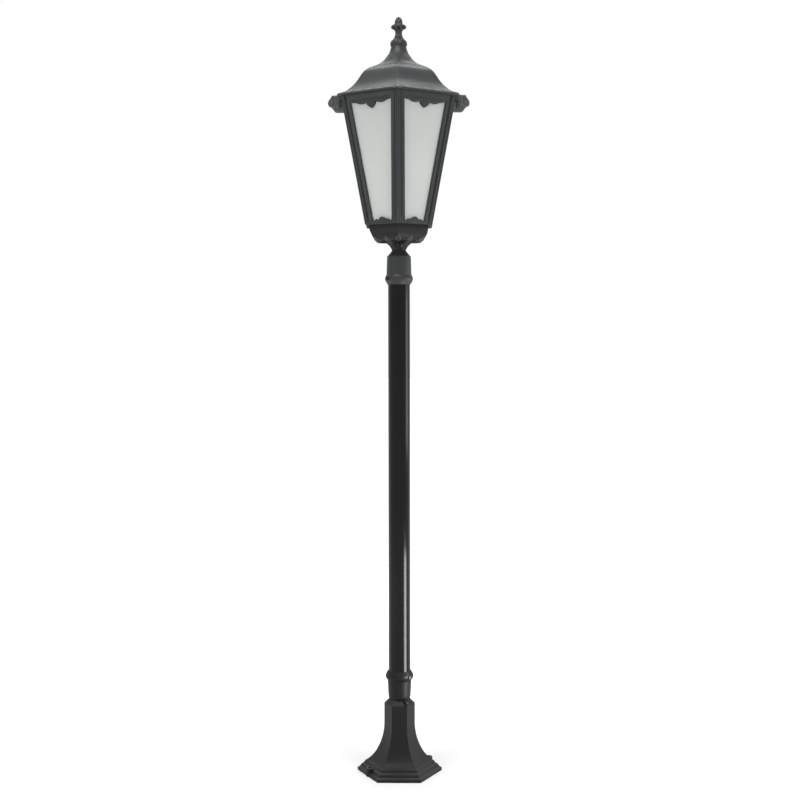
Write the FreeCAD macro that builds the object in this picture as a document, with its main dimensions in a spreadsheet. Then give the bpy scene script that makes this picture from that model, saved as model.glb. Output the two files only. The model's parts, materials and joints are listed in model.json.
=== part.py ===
import FreeCAD, Part
import math
import os
from types import SimpleNamespace

import Sketcher
from FreeCAD import Placement, Rotation, Vector

# A street lantern on its own post, in millimetres.
# The origin is the centre of the foot's underside, +Z is up and the front faces -Y.
# The foot is a hexagon with a flat to the front, the lantern a hexagon with a corner to the front.

SIZES = {
    # foot casting
    "foot_corner": 117.0,
    "foot_height": 201.5,
    "foot_wall": 6.0,
    "foot_edge": 8.0,
    "step_tread": 7.0,
    "step_slope": 3.5,
    "step_rise": 6.5,
    "step_batter": 4.0,
    "flare_height": 133.0,
    "column_corner": 42.4,
    "column_crown": 28.5,
    "column_chamfer": 13.0,
    "crown_plate": 12.0,
    "bolt_circle": 186.0,
    "bolt_hole": 10.0,
    "bolt_boss": 22.0,
    "bolt_boss_height": 22.0,
    "column_screw_drop": 6.4,
    "column_screw_boss": 12.0,
    "column_screw_seat": 1.8,
    "boss_clearance": 1.0,
    # lower collar
    "collar_height": 78.5,
    "collar_foot": 56.0,
    "collar_neck": 65.2,
    "collar_ring": 77.2,
    "collar_lip": 4.0,
    "ring_height": 28.0,
    "lower_ring_middle": 63.7,
    "spigot": 44.0,
    "spigot_length": 36.0,
    "spigot_bore": 34.0,
    "socket_depth": 34.0,
    # pole
    "pole_diameter": 60.0,
    "pole_wall": 2.5,
    "pole_showing": 1069.5,
    # upper collar
    "cap_height": 94.2,
    "cap_body": 65.6,
    "cap_cone": 16.7,
    "cap_waist": 38.2,
    "cap_wall": 4.0,
    "upper_ring_middle": 16.2,
    # bowl under the lantern
    "bowl_height": 66.0,
    "bowl_corner": 93.0,
    "bowl_wall": 5.0,
    "funnel_height": 24.5,
    "funnel_corner": 56.0,
    "flute_radius": 9.0,
    "flute_depth": 2.6,
    "bowl_leaf": 15.0,
    "bowl_leaf_thickness": 2.4,
    "bowl_boss": 13.0,
    "bowl_boss_height": 20.0,
    "bowl_boss_circle": 156.0,
    # threaded nipple through collar and bowl
    "nipple": 16.0,
    "nipple_bore": 11.0,
    "nut_flats": 24.0,
    "nut_height": 8.0,
    "web": 8.0,
    # lantern frame
    "frame_height": 341.3,
    "frame_foot": 101.4,
    "frame_head": 174.0,
    "frame_wall": 7.0,
    "post_flange": 21.0,
    "post_rib": 8.7,
    "rib_proud": 2.0,
    "groove_width": 2.6,
    "groove_depth": 1.8,
    "top_rail": 21.0,
    "foot_rail": 9.5,
    "floor_thickness": 4.5,
    "floor_opening": 60.0,
    "ledge_drop": 7.5,
    "ledge_thickness": 4.0,
    "ledge_width": 14.0,
    # glass panes and their clips
    "pane_thickness": 3.0,
    "pane_lap": 9.0,
    "pane_head_lap": 3.0,
    "clip_low": 70.0,
    "clip_high": 250.0,
    "clip_wing": 17.0,
    "clip_height": 18.0,
    "clip_thickness": 1.2,
    # roof
    "roof_seat": 24.0,
    "roof_corner": 184.0,
    "roof_rim": 7.0,
    "roof_shell": 6.0,
    "shoulder_corner": 90.2,
    "shoulder_height": 88.0,
    "neck_corner": 44.0,
    "neck_height": 115.0,
    "neck_plate": 7.0,
    "leaf_proud": 1.4,
    "leaf_depth": 6.0,
    "leaf_valley": 8.2,
    "leaf_height": 11.6,
    "leaf_pitch": 17.6,
    "corner_leaf": 10.0,
    "roof_height": 153.5,
    "roof_top": 42.2,
    # bridge bar, stud and finial
    "bar_width": 25.0,
    "bar_thickness": 3.0,
    "bar_gap": 1.5,
    "stud": 10.0,
    "stud_grip": 24.0,
    "stud_nut_flats": 17.0,
    "stud_nut_height": 8.0,
    "finial_height": 81.3,
    "finial_ring": 46.6,
    "finial_stem": 19.0,
    "finial_petals": 42.4,
    "finial_bud": 23.4,
    "petal_gap": 22.0,
    "petal_foot": 44.0,
    "stem_flute": 5.2,
    "stem_flute_foot": 27.0,
    "ring_flute": 6.4,
    "ring_flute_height": 11.0,
    "bud_cut": 3.2,
    "bud_foot": 62.0,
    # lamp
    "holder_diameter": 44.0,
    "holder_height": 52.0,
    "holder_depth": 28.0,
    "bulb_diameter": 60.0,
    "bulb_length": 108.0,
    "bulb_neck": 26.0,
    "strip_width": 32.0,
    "strip_thickness": 2.5,
    "terminal_length": 30.0,
    "terminal_width": 16.0,
    "terminal_height": 14.0,
    # side consoles
    "console_width": 24.0,
    "console_reach": 33.4,
    "console_drop": 25.7,
    "console_rise": 22.7,
    "volute": 11.0,
    "volute_proud": 2.0,
    # screws and fits
    "screw": 5.0,
    "screw_head": 9.0,
    "screw_head_height": 3.2,
    "set_screw": 6.0,
    "set_screw_head": 9.5,
    "set_screw_head_height": 4.0,
    "console_screw_head": 6.6,
    "fit": 0.15,
    "seat_gap": 0.3,
}

COS30 = math.cos(math.radians(30))
TAN30 = math.tan(math.radians(30))
LANTERN_TURN = 30.0
COLUMN_SCREW_TURN = -60.0
LOWER_SCREW_TURN = -44.0
UPPER_SCREW_TURN = 36.0
BRIDGE_TURN = 60.0
SIDES = 6

doc = FreeCAD.newDocument("street_lantern")
sheet = doc.addObject("Spreadsheet::Sheet", "Sizes")
for row, (alias, value) in enumerate(SIZES.items(), start=1):
    sheet.set(f"A{row}", alias.replace("_", " "))
    sheet.set(f"B{row}", str(value))
    sheet.setAlias(f"B{row}", alias)
doc.recompute()


class Size:
    """A length that knows its value and the sheet expression that gives it."""

    def __init__(self, value, text=None):
        self.value = float(value)
        self.bound = text is not None
        self.text = text if self.bound else f"({self.value!r})"

    def __float__(self):
        return self.value

    def joined(self, value, sign, other, left=True):
        first, second = (self, other) if left else (other, self)
        result = Size(value, f"({first.text} {sign} {second.text})")
        result.bound = self.bound or other.bound
        return result

    def __add__(self, other):
        other = as_size(other)
        return self.joined(self.value + other.value, "+", other)

    def __radd__(self, other):
        return as_size(other) + self

    def __sub__(self, other):
        other = as_size(other)
        return self.joined(self.value - other.value, "-", other)

    def __rsub__(self, other):
        return as_size(other) - self

    def __mul__(self, other):
        other = as_size(other)
        return self.joined(self.value * other.value, "*", other)

    def __rmul__(self, other):
        return as_size(other) * self

    def __truediv__(self, other):
        other = as_size(other)
        return self.joined(self.value / other.value, "/", other)

    def __neg__(self):
        return self * -1.0


def as_size(thing):
    return thing if isinstance(thing, Size) else Size(thing)


def between(start, end, share):
    """The size that lies a share of the way from start to end."""
    return start + (end - start) * share


s = SimpleNamespace(**{alias: Size(sheet.get(alias), "Sizes." + alias) for alias in SIZES})

# heights where one piece stands on the next
collar_base = s.foot_height
pole_base = collar_base + s.collar_height - s.socket_depth
cap_base = collar_base + s.collar_height + s.pole_showing
pole_length = s.pole_showing + s.socket_depth * 2
bowl_base = cap_base + s.cap_height
frame_base = bowl_base + s.bowl_height
roof_base = frame_base + s.frame_height
finial_base = roof_base + s.roof_height


class Via:
    """A point that an arc passes between two corners of an outline."""

    def __init__(self, x, y):
        self.x = as_size(x)
        self.y = as_size(y)


def new_body(label, height=0.0, turn=0.0):
    """A body that stands at a height on the axis, turned about it."""
    body = doc.addObject("PartDesign::Body", label)
    body.Label = label
    body.AllowCompound = True
    height = as_size(height)
    body.Placement = Placement(Vector(0, 0, float(height)), Rotation(Vector(0, 0, 1), turn))
    if height.bound:
        body.setExpression("Placement.Base.z", height.text)
    return body


def origin_part(body, role):
    return next(item for item in body.Origin.OriginFeatures if item.Role == role)


def new_sketch(body, plane, name, lift=0.0):
    """A sketch on one of the body's own planes, lifted along that plane's normal."""
    sketch = body.newObject("Sketcher::SketchObject", name)
    sketch.AttachmentSupport = [(origin_part(body, plane), "")]
    sketch.MapMode = "FlatFace"
    lift = as_size(lift)
    sketch.AttachmentOffset = Placement(Vector(0, 0, float(lift)), Rotation())
    if lift.bound:
        sketch.setExpression("AttachmentOffset.Base.z", lift.text)
    return sketch


def fix_point(sketch, geometry, end, x, y):
    """Hold a point at its sizes from the sketch's origin."""
    x, y = as_size(x), as_size(y)
    for size, kind, axis in ((x, "DistanceX", -2), (y, "DistanceY", -1)):
        if not size.bound and size.value == 0.0:
            sketch.addConstraint(Sketcher.Constraint("PointOnObject", geometry, end, axis))
            continue
        number = sketch.addConstraint(Sketcher.Constraint(kind, -1, 1, geometry, end, size.value))
        if size.bound:
            sketch.setExpression(f"Constraints[{number}]", size.text)


def outline(sketch, marks):
    """Draw a closed line through the corners, with an arc wherever a Via lies between two."""
    corners, passed = [], {}
    for mark in marks:
        if isinstance(mark, Via):
            passed[len(corners) - 1] = mark
        else:
            corners.append(mark)
    ends = []
    for number, (x, y) in enumerate(corners):
        next_x, next_y = corners[(number + 1) % len(corners)]
        start = Vector(float(x), float(y), 0)
        end = Vector(float(next_x), float(next_y), 0)
        via = passed.get(number)
        if via is None:
            geometry = sketch.addGeometry(Part.LineSegment(start, end), False)
            ends.append((geometry, 1, 2))
            continue
        middle = Vector(float(via.x), float(via.y), 0)
        geometry = sketch.addGeometry(Part.Arc(start, middle, end), False)
        to_the_left = (middle - start).cross(end - start).z > 0
        ends.append((geometry, 1, 2) if to_the_left else (geometry, 2, 1))
    for number, (geometry, _, end) in enumerate(ends):
        following, first, _ = ends[(number + 1) % len(ends)]
        sketch.addConstraint(Sketcher.Constraint("Coincident", geometry, end, following, first))
    for number, (x, y) in enumerate(corners):
        geometry, first, _ = ends[number]
        fix_point(sketch, geometry, first, x, y)
        via = passed.get(number)
        if via is not None:
            point = sketch.addGeometry(Part.Point(Vector(float(via.x), float(via.y), 0)), True)
            fix_point(sketch, point, 1, via.x, via.y)
            sketch.addConstraint(Sketcher.Constraint("PointOnObject", point, 1, geometry))
    return sketch


def polygon(radius, sides=SIDES, turn=0.0):
    """Corners of a regular polygon about the sketch's origin."""
    step = 2 * math.pi / sides
    angles = [math.radians(turn) + number * step for number in range(sides)]
    return [(radius * round(math.cos(angle), 12), radius * round(math.sin(angle), 12)) for angle in angles]


def revolve(body, name, marks, cut=False):
    """Turn an outline of radius and height about the upright axis."""
    sketch = outline(new_sketch(body, "XZ_Plane", name + "_outline"), marks)
    feature = body.newObject("PartDesign::Groove" if cut else "PartDesign::Revolution", name)
    feature.Profile = sketch
    feature.ReferenceAxis = (sketch, ["V_Axis"])
    feature.Angle = 360
    return feature


def sweep_hexagon(body, name, marks):
    """Sweep an outline of corner radius and height round a hexagon with a flat to the front."""
    path = outline(new_sketch(body, "XY_Plane", name + "_path"), polygon(s.pole_diameter))
    flat = []
    for mark in marks:
        if isinstance(mark, Via):
            flat.append(Via(mark.x * COS30, mark.y))
        else:
            flat.append((mark[0] * COS30, mark[1]))
    section = outline(new_sketch(body, "YZ_Plane", name + "_section"), flat)
    pipe = body.newObject("PartDesign::AdditivePipe", name)
    pipe.Profile = section
    pipe.Spine = (path, [])
    pipe.Transition = "Right corner"
    return pipe


def extrude(body, name, plane, sketch_marks, lift, length, cut=False):
    """Pad or pocket an outline from its lifted plane along the plane's normal."""
    sketch = outline(new_sketch(body, plane, name + "_outline", lift), sketch_marks)
    return extrude_sketch(body, name, sketch, length, cut)


def extrude_sketch(body, name, sketch, length, cut):
    feature = body.newObject("PartDesign::Pocket" if cut else "PartDesign::Pad", name)
    feature.Profile = sketch
    length = as_size(length)
    feature.Length = float(length)
    if length.bound:
        feature.setExpression("Length", length.text)
    if cut:
        feature.Reversed = True
    return feature


def rod(body, name, plane, centre, lift, length, diameter, cut=False):
    """A round bar or hole along a plane's normal."""
    sketch = new_sketch(body, plane, name + "_circle", lift)
    x, y = centre
    middle = Vector(float(x), float(y), 0)
    circle = sketch.addGeometry(Part.Circle(middle, Vector(0, 0, 1), float(diameter) / 2), False)
    fix_point(sketch, circle, 3, x, y)
    number = sketch.addConstraint(Sketcher.Constraint("Diameter", circle, float(diameter)))
    if as_size(diameter).bound:
        sketch.setExpression(f"Constraints[{number}]", as_size(diameter).text)
    return extrude_sketch(body, name, sketch, length, cut)


def around(body, name, features, count):
    """Repeat features evenly about the upright axis."""
    pattern = body.newObject("PartDesign::PolarPattern", name)
    pattern.Originals = features
    pattern.Axis = (origin_part(body, "Z_Axis"), [""])
    pattern.Angle = 360
    pattern.Occurrences = count
    body.Tip = pattern
    return pattern


def chevron(body, name, height, corner, width, depth):
    """A bent strip folded round the hexagon's first corner, as wide along each side and as deep as given."""
    run, reach = width / 2, width * COS30
    marks = [(corner, 0), (corner - run, reach), (corner - run - depth, reach), (corner - depth, 0)]
    marks += [(corner - run - depth, -reach), (corner - run, -reach)]
    return outline(new_sketch(body, "XY_Plane", name, height), marks)


def loft(body, name, low, high, cut=False):
    """Straight walls from one section to another."""
    feature = body.newObject("PartDesign::SubtractiveLoft" if cut else "PartDesign::AdditiveLoft", name)
    feature.Profile = low
    feature.Sections = [high]
    feature.Ruled = True
    return feature


def foot_steps():
    """Corner radius and height of the foot's edge and its three sloping treads."""
    radius, height = s.foot_corner, s.foot_edge
    marks = [(radius, 0), (radius, height)]
    for number in range(3):
        radius, height = radius - s.step_tread, height + s.step_slope
        marks.append((radius, height))
        if number < 2:
            radius, height = radius - s.step_batter, height + s.step_rise
            marks.append((radius, height))
    return marks


def column_screw_seat():
    """Distance from the axis to the face under the head of the column's set screw."""
    return s.column_corner - s.column_screw_seat


def make_foot():
    """The hexagonal foot and column, cast hollow in one piece with two holding-down bosses."""
    body = new_body("foot_casting", 0, COLUMN_SCREW_TURN)
    steps = foot_steps()
    flare_corner, flare_start = steps[-1]
    column, wall, top = s.column_corner, s.foot_wall / COS30, s.foot_height
    waist = (between(flare_corner, column, 0.60), between(flare_start, s.flare_height, 0.31))
    lower_via = Via(between(flare_corner, column, 0.35), between(flare_start, s.flare_height, 0.145))
    upper_via = Via(between(flare_corner, column, 0.87), between(flare_start, s.flare_height, 0.60))
    outside = steps + [lower_via, waist, upper_via, (column, s.flare_height)]
    outside += [(column, top - s.column_chamfer), (s.column_crown, top)]
    shelf = top - s.crown_plate
    inside = [(s.spigot_bore / 2, top), (s.spigot_bore / 2, shelf), (column - wall, shelf)]
    inside += [(column - wall, s.flare_height), Via(upper_via.x - wall, upper_via.y)]
    inside += [(waist[0] - wall, waist[1]), Via(lower_via.x - wall, lower_via.y)]
    inside += [(flare_corner - wall, flare_start - s.foot_wall / 2)]
    inside += [(s.foot_corner - wall * 2, s.foot_edge / 2), (s.foot_corner - wall * 2, 0)]
    sweep_hexagon(body, "foot_shell", outside + inside)
    boss_reach = (0, s.bolt_circle / 2)
    boss = rod(body, "bolt_boss", "XY_Plane", boss_reach, 0, s.bolt_boss_height, s.bolt_boss)
    around(body, "bolt_bosses", [boss], 2)
    hole = rod(body, "bolt_hole", "XY_Plane", boss_reach, -1, s.bolt_boss_height + 2, s.bolt_hole, cut=True)
    around(body, "bolt_holes", [hole], 2)
    screw_at = (0, top - s.column_screw_drop)
    boss_start = s.spigot / 2 + s.boss_clearance
    rod(body, "screw_boss", "YZ_Plane", screw_at, boss_start, column_screw_seat() - boss_start,
        s.column_screw_boss)
    rod(body, "screw_hole", "YZ_Plane", screw_at, 0, s.column_corner, s.set_screw, cut=True)
    rod(body, "collar_seat", "XY_Plane", (0, 0), shelf - 1, s.crown_plate + 2, s.spigot + s.fit * 2,
        cut=True)
    return body


def make_lower_collar():
    """The turned collar between column and pole, with a spigot below and a socket above."""
    body = new_body("lower_collar", collar_base, LOWER_SCREW_TURN)
    foot, neck, ring = s.collar_foot / 2, s.collar_neck / 2, s.collar_ring / 2
    top, ring_base = s.collar_height, s.collar_height - s.ring_height
    ring_middle = s.lower_ring_middle
    socket = s.pole_diameter / 2 + s.fit
    marks = [(s.spigot_bore / 2, -s.spigot_length), (s.spigot / 2, -s.spigot_length), (s.spigot / 2, 0)]
    marks += [(foot, 0), Via(foot + 2.0, 5.5), (foot + 2.6, 10.0), (neck, ring_base)]
    marks += [(neck + 0.8, ring_base + 3.0), Via(ring - 1.0, ring_middle - 5.0), (ring, ring_middle)]
    marks += [Via(ring - 1.4, ring_middle + 5.0), (ring - s.collar_lip, ring_middle + 9.5)]
    marks += [(socket + 1.0, top)]
    marks += [(socket, top), (socket, top - s.socket_depth), (s.spigot_bore / 2, top - s.socket_depth)]
    revolve(body, "collar_turning", marks)
    hole = rod(body, "screw_hole", "YZ_Plane", (0, ring_middle), s.pole_diameter / 4, ring, s.set_screw,
               cut=True)
    around(body, "screw_holes", [hole], 2)
    return body


def make_pole():
    """The round tube of the post."""
    body = new_body("pole_tube", pole_base)
    outer, inner = s.pole_diameter / 2, s.pole_diameter / 2 - s.pole_wall
    revolve(body, "tube", [(inner, 0), (outer, 0), (outer, pole_length), (inner, pole_length)])
    return body


def make_upper_collar():
    """The turned cap on the pole's head: a ring, a plain drum and a cone up to the waist."""
    body = new_body("upper_collar", cap_base, UPPER_SCREW_TURN)
    drum, ring, waist = s.cap_body / 2, s.collar_ring / 2, s.cap_waist / 2
    socket, top, cone_base = s.pole_diameter / 2 + s.fit, s.cap_height, s.cap_height - s.cap_cone
    ring_middle = s.upper_ring_middle
    bore, hollow = s.nipple / 2 + s.fit, drum - s.cap_wall
    marks = [(socket, 0), (socket + 1.0, 0), (ring - s.collar_lip, ring_middle - 10.5)]
    marks += [Via(ring - 1.2, ring_middle - 5.0), (ring, ring_middle)]
    marks += [Via(ring - 1.0, ring_middle + 5.0), (drum + 1.6, ring_middle + 11.0), (drum, cone_base)]
    marks += [Via(between(drum, waist, 0.52), between(cone_base, top, 0.47)), (waist, top), (bore, top)]
    marks += [(bore, top - s.web), (waist - 2.0, top - s.web), (hollow, cone_base - 4.0)]
    marks += [(hollow, s.socket_depth), (socket, s.socket_depth)]
    revolve(body, "cap_turning", marks)
    hole = rod(body, "screw_hole", "YZ_Plane", (0, ring_middle), s.pole_diameter / 4, ring, s.set_screw,
               cut=True)
    around(body, "screw_holes", [hole], 2)
    return body


def cut_flutes(body, floor):
    """Six hollow flutes up the funnel, under the corners of the bowl."""
    waist, top = s.cap_waist / 2, s.funnel_corner * COS30
    away = s.flute_radius - s.flute_depth
    start, end = (waist + away, -1.0), (top, floor - away)
    via = (waist * 1.42 + away * 0.8, floor * 0.56 - away * 0.6)
    path = new_sketch(body, "XZ_Plane", "flute_path")
    points = [Vector(float(x), float(y), 0) for x, y in (start, via, end)]
    arc = path.addGeometry(Part.Arc(*points), False)
    to_the_left = (points[1] - points[0]).cross(points[2] - points[0]).z > 0
    first, last = (1, 2) if to_the_left else (2, 1)
    fix_point(path, arc, first, *start)
    fix_point(path, arc, last, *end)
    point = path.addGeometry(Part.Point(points[1]), True)
    fix_point(path, point, 1, *via)
    path.addConstraint(Sketcher.Constraint("PointOnObject", point, 1, arc))
    section = new_sketch(body, "XY_Plane", "flute_section", -1.0)
    circle = section.addGeometry(Part.Circle(points[0], Vector(0, 0, 1), float(s.flute_radius)), False)
    fix_point(section, circle, 3, waist + away, 0)
    number = section.addConstraint(Sketcher.Constraint("Radius", circle, float(s.flute_radius)))
    section.setExpression(f"Constraints[{number}]", s.flute_radius.text)
    flute = body.newObject("PartDesign::SubtractivePipe", "flute")
    flute.Profile = section
    flute.Spine = (path, [])
    around(body, "flutes", [flute], SIDES)


def add_bowl_leaves(body, floor):
    """Twelve pointed leaves on the bowl's underside round the funnel."""
    start, half = s.funnel_corner * 0.72, s.bowl_leaf * 0.40
    widest, tip = start + s.bowl_leaf * 0.35, start + s.bowl_leaf
    marks = [(start, -half * 0.7), (widest, -half), Via(between(widest, tip, 0.6), -half * 0.62), (tip, 0)]
    marks += [Via(between(widest, tip, 0.6), half * 0.62), (widest, half), (start, half * 0.7)]
    lift = floor - s.bowl_leaf_thickness
    leaf = extrude(body, "bowl_leaf", "XY_Plane", marks, lift, s.bowl_leaf_thickness + s.bowl_wall / 2)
    around(body, "bowl_leaves", [leaf], SIDES * 2)


def make_bowl():
    """The hexagonal bowl that carries the lantern, on a fluted funnel with a round neck."""
    body = new_body("bowl_casting", bowl_base, LANTERN_TURN)
    corner, wall, top = s.bowl_corner, s.bowl_wall / COS30, s.bowl_height
    funnel, floor = s.funnel_corner, s.funnel_height
    mouth = funnel - 10.0
    lip, turn, bulge = top - 7.0, corner * 0.70, Via(corner * 0.895, floor + 14.5)
    outside = [(mouth, floor), (turn, floor), bulge, (corner, lip), (corner, top)]
    inside = [(corner - wall, top), (corner - wall, lip), Via(bulge.x - wall * 0.8, bulge.y + wall * 0.5)]
    inside += [(turn - wall * 0.5, floor + wall), (mouth, floor + wall)]
    sweep_hexagon(body, "bowl_shell", outside + inside)
    waist, bore = s.cap_waist / 2, s.nipple / 2 + s.fit
    marks = [(bore, 0), (waist, 0), Via(waist * 1.42, floor * 0.56), (funnel * COS30 - 1.0, floor)]
    marks += [(funnel * COS30 + 1.0, floor + wall), (funnel * 0.6, floor + wall)]
    marks += [Via(waist + 3.0, floor * 0.80), (waist - 2.0, s.web), (bore, s.web)]
    revolve(body, "funnel", marks)
    cut_flutes(body, floor)
    add_bowl_leaves(body, floor)
    boss_at = (s.bowl_boss_circle / 2, 0)
    boss = rod(body, "rim_boss", "XY_Plane", boss_at, top - s.bowl_boss_height, s.bowl_boss_height,
               s.bowl_boss)
    around(body, "rim_bosses", [boss], 3)
    hole_top = top + 1.0
    hole = rod(body, "rim_hole", "XY_Plane", boss_at, hole_top - 16.0, 16.0, s.screw, cut=True)
    around(body, "rim_holes", [hole], 3)
    return body


def frame_corner(height):
    """Corner radius of the frame's faces at a height above its foot."""
    return s.frame_foot + (s.frame_head - s.frame_foot) * height / s.frame_height


def window_edge(height):
    """Half width of the glass opening at a height above the frame's foot."""
    return frame_corner(height) / 2 - s.post_flange


def make_frame():
    """The cast lantern frame: six leaning posts, a scalloped rail above and below each pane."""
    body = new_body("lantern_frame", frame_base, LANTERN_TURN)
    wall, top = s.frame_wall / COS30, s.frame_height
    ledge = top - s.ledge_drop
    ledge_base = ledge - s.ledge_thickness
    ledge_inner = frame_corner(ledge) - wall - s.ledge_width / COS30
    floor_inner = s.floor_opening / COS30
    marks = [(floor_inner, 0), (s.frame_foot, 0), (s.frame_head, top), (s.frame_head - wall, top)]
    marks += [(frame_corner(ledge) - wall, ledge), (ledge_inner, ledge), (ledge_inner, ledge_base)]
    marks += [(frame_corner(ledge_base) - wall, ledge_base)]
    marks += [(frame_corner(s.floor_thickness) - wall, s.floor_thickness), (floor_inner, s.floor_thickness)]
    sweep_hexagon(body, "frame_shell", marks)

    low, high = s.foot_rail, top - s.top_rail
    left = [(-window_edge(low), low), (-23.0, low), Via(-16.0, low + 4.0), (-9.0, low)]
    crown = [Via(0, low + 10.0), (9.0, low), Via(16.0, low + 4.0), (23.0, low), (window_edge(low), low)]
    right_head = [(window_edge(high + 3.0), high + 3.0), Via(54.0, high + 0.6), (47.0, high)]
    right_head += [Via(31.0, high - 5.0), (15.0, high - 1.5), Via(10.2, high - 10.2), (0, high - 17.5)]
    left_head = [Via(-10.2, high - 10.2), (-15.0, high - 1.5), Via(-31.0, high - 5.0), (-47.0, high)]
    left_head += [Via(-54.0, high + 0.6), (-window_edge(high + 3.0), high + 3.0)]
    marks = left + crown + right_head + left_head
    window = extrude(body, "window", "XZ_Plane", marks, 0, s.frame_head, cut=True)
    around(body, "windows", [window], SIDES)

    def groove_section(name, height):
        above, below = s.rib_proud, s.groove_depth / COS30
        return chevron(body, name, height, frame_corner(height) + above, s.post_rib + s.groove_width,
                       above + below)

    def rib_section(name, height):
        above = s.rib_proud / COS30
        return chevron(body, name, height, frame_corner(height) + above, s.post_rib, above + wall / 2)

    groove_foot = groove_section("groove_foot", s.foot_rail * 1.6)
    groove = loft(body, "corner_groove", groove_foot, groove_section("groove_head", top + 1.0), cut=True)
    around(body, "corner_grooves", [groove], SIDES)
    rib = loft(body, "corner_rib", rib_section("rib_foot", Size(0)), rib_section("rib_head", top))
    around(body, "corner_ribs", [rib], SIDES)

    hole_at = (s.bowl_boss_circle / 2, 0)
    hole = rod(body, "floor_hole", "XY_Plane", hole_at, -1.0, s.floor_thickness + 2.0, s.screw + 0.5,
               cut=True)
    around(body, "floor_holes", [hole], 3)
    strip_at = (strip_screw_radius() * COS30, -strip_screw_radius() / 2)
    hole = rod(body, "strip_hole", "XY_Plane", strip_at, -1.0, s.floor_thickness + 2.0, s.screw, cut=True)
    around(body, "strip_holes", [hole], 2)

    def inner_corner(height):
        return frame_corner(height) - wall

    pilots = []
    for name, height in (("low", s.clip_low), ("high", s.clip_high)):
        middle = height + s.clip_height / 2
        pilots.append(rod(body, name + "_pilot", "YZ_Plane", (0, middle), inner_corner(middle) - 5.0, 10.0,
                          s.screw, cut=True))
    around(body, "pilots", pilots, SIDES)

    bridge_at = (ledge_screw_radius() * math.cos(math.radians(30)), ledge_screw_radius() * 0.5)
    hole = rod(body, "ledge_hole", "XY_Plane", bridge_at, ledge_base - 1.0, s.ledge_thickness + 2.0, s.screw,
               cut=True)
    around(body, "ledge_holes", [hole], 2)
    face = frame_corner(console_screw_height()) * COS30
    for number, side in enumerate((-1, 1)):
        for lean in (-1, 1):
            across = s.console_width / 4 * lean
            name = f"console_hole_{number}_{lean + 1}"
            sketch_turned_hole(body, name, side, across, console_screw_height(), face)
    return body


def strip_screw_radius():
    """Distance from the axis to the two screws of the lamp strip."""
    return s.floor_opening + 6.5


def ledge_screw_radius():
    """Distance from the axis to the two screws of the bridge bar."""
    ledge = s.frame_height - s.ledge_drop
    return frame_corner(ledge) * COS30 - s.frame_wall - s.ledge_width / 2


def console_screw_height():
    """Height of the console screws above the frame's foot, just over the ledge."""
    return s.frame_height - s.ledge_drop + s.console_screw_head / 2 + 0.4


def sketch_turned_hole(body, name, side, across, height, face):
    """A hole through one of the two side faces, which lie 30 degrees round from the body's own axes."""
    hole = body.newObject("PartDesign::SubtractiveCylinder", name)
    hole.Radius = float(s.screw) / 2
    hole.setExpression("Radius", (s.screw / 2).text)
    hole.Height = float(s.frame_wall) * 3
    hole.setExpression("Height", (s.frame_wall * 3).text)
    start = face - s.frame_wall * 2
    turn = Rotation(Vector(0, 0, 1), -LANTERN_TURN if side > 0 else 180.0 - LANTERN_TURN)
    place = Vector(float(start), float(across), float(height))
    hole.Placement = Placement(turn.multVec(place), turn.multiply(Rotation(Vector(0, 1, 0), 90)))
    return hole


def screws_up(label, base, turn, centre, lift, length, count):
    """Upright screws about the axis, their heads on top."""
    body = new_body(label, base, turn)
    shank = rod(body, "shank", "XY_Plane", centre, lift, length, s.screw - s.fit * 2)
    head = rod(body, "head", "XY_Plane", centre, lift + length, s.screw_head_height, s.screw_head)
    around(body, "screws", [shank, head], count)
    return body


def screws_out(label, base, turn, height, start, length, count, diameter, head_diameter, head_height):
    """Level screws that point at the axis, their heads outside."""
    body = new_body(label, base, turn)
    shank = rod(body, "shank", "YZ_Plane", (0, height), start, length, diameter)
    head = rod(body, "head", "YZ_Plane", (0, height), start + length, head_height, head_diameter)
    if count > 1:
        around(body, "screws", [shank, head], count)
    return body


def make_column_screw():
    """The set screw in the column's crown that locks the collar's spigot."""
    height = s.foot_height - s.column_screw_drop
    start = s.spigot / 2 + s.fit
    return screws_out("column_screw", 0, COLUMN_SCREW_TURN, height, start, column_screw_seat() - start,
                      1, s.set_screw - s.fit * 2, s.set_screw_head, s.set_screw_head_height)


def make_collar_screws(label, base, turn, ring_middle):
    """Two set screws through a collar's ring onto the pole."""
    start = s.pole_diameter / 2
    return screws_out(label, base, turn, ring_middle, start, s.collar_ring / 2 - start, 2,
                      s.set_screw - s.fit * 2, s.set_screw_head, s.set_screw_head_height)


def make_nipple():
    """The threaded tube that ties the upper collar and the bowl together."""
    reach = s.web + s.nut_height + 3.0
    body = new_body("neck_nipple", bowl_base)
    outer, inner = s.nipple / 2, s.nipple_bore / 2
    revolve(body, "tube", [(inner, -reach), (outer, -reach), (outer, reach), (inner, reach)])
    return body


def make_nuts(label, base, flats, height, bore, lifts):
    """Hexagon nuts on one upright thread."""
    body = new_body(label, base)
    for number, lift in enumerate(lifts):
        extrude(body, f"nut_{number}", "XY_Plane", polygon(flats / 2 / COS30), lift, height)
        rod(body, f"bore_{number}", "XY_Plane", (0, 0), lift - 1.0, height + 2.0, bore + s.fit * 2, cut=True)
    return body


def make_nipple_nuts():
    return make_nuts("nipple_nuts", bowl_base, s.nut_flats, s.nut_height, s.nipple,
                     [-s.web - s.nut_height, s.web])


def make_frame_screws():
    """Three screws through the frame's floor into the bosses of the bowl."""
    depth = 12.0
    return screws_up("frame_screws", frame_base, LANTERN_TURN, (s.bowl_boss_circle / 2, 0),
                     -depth, s.floor_thickness + depth, 3)


def face_lean():
    """Lean of the frame's faces from upright, in degrees."""
    spread = float(s.frame_head - s.frame_foot) * COS30
    return math.degrees(math.atan2(spread, float(s.frame_height)))


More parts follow.
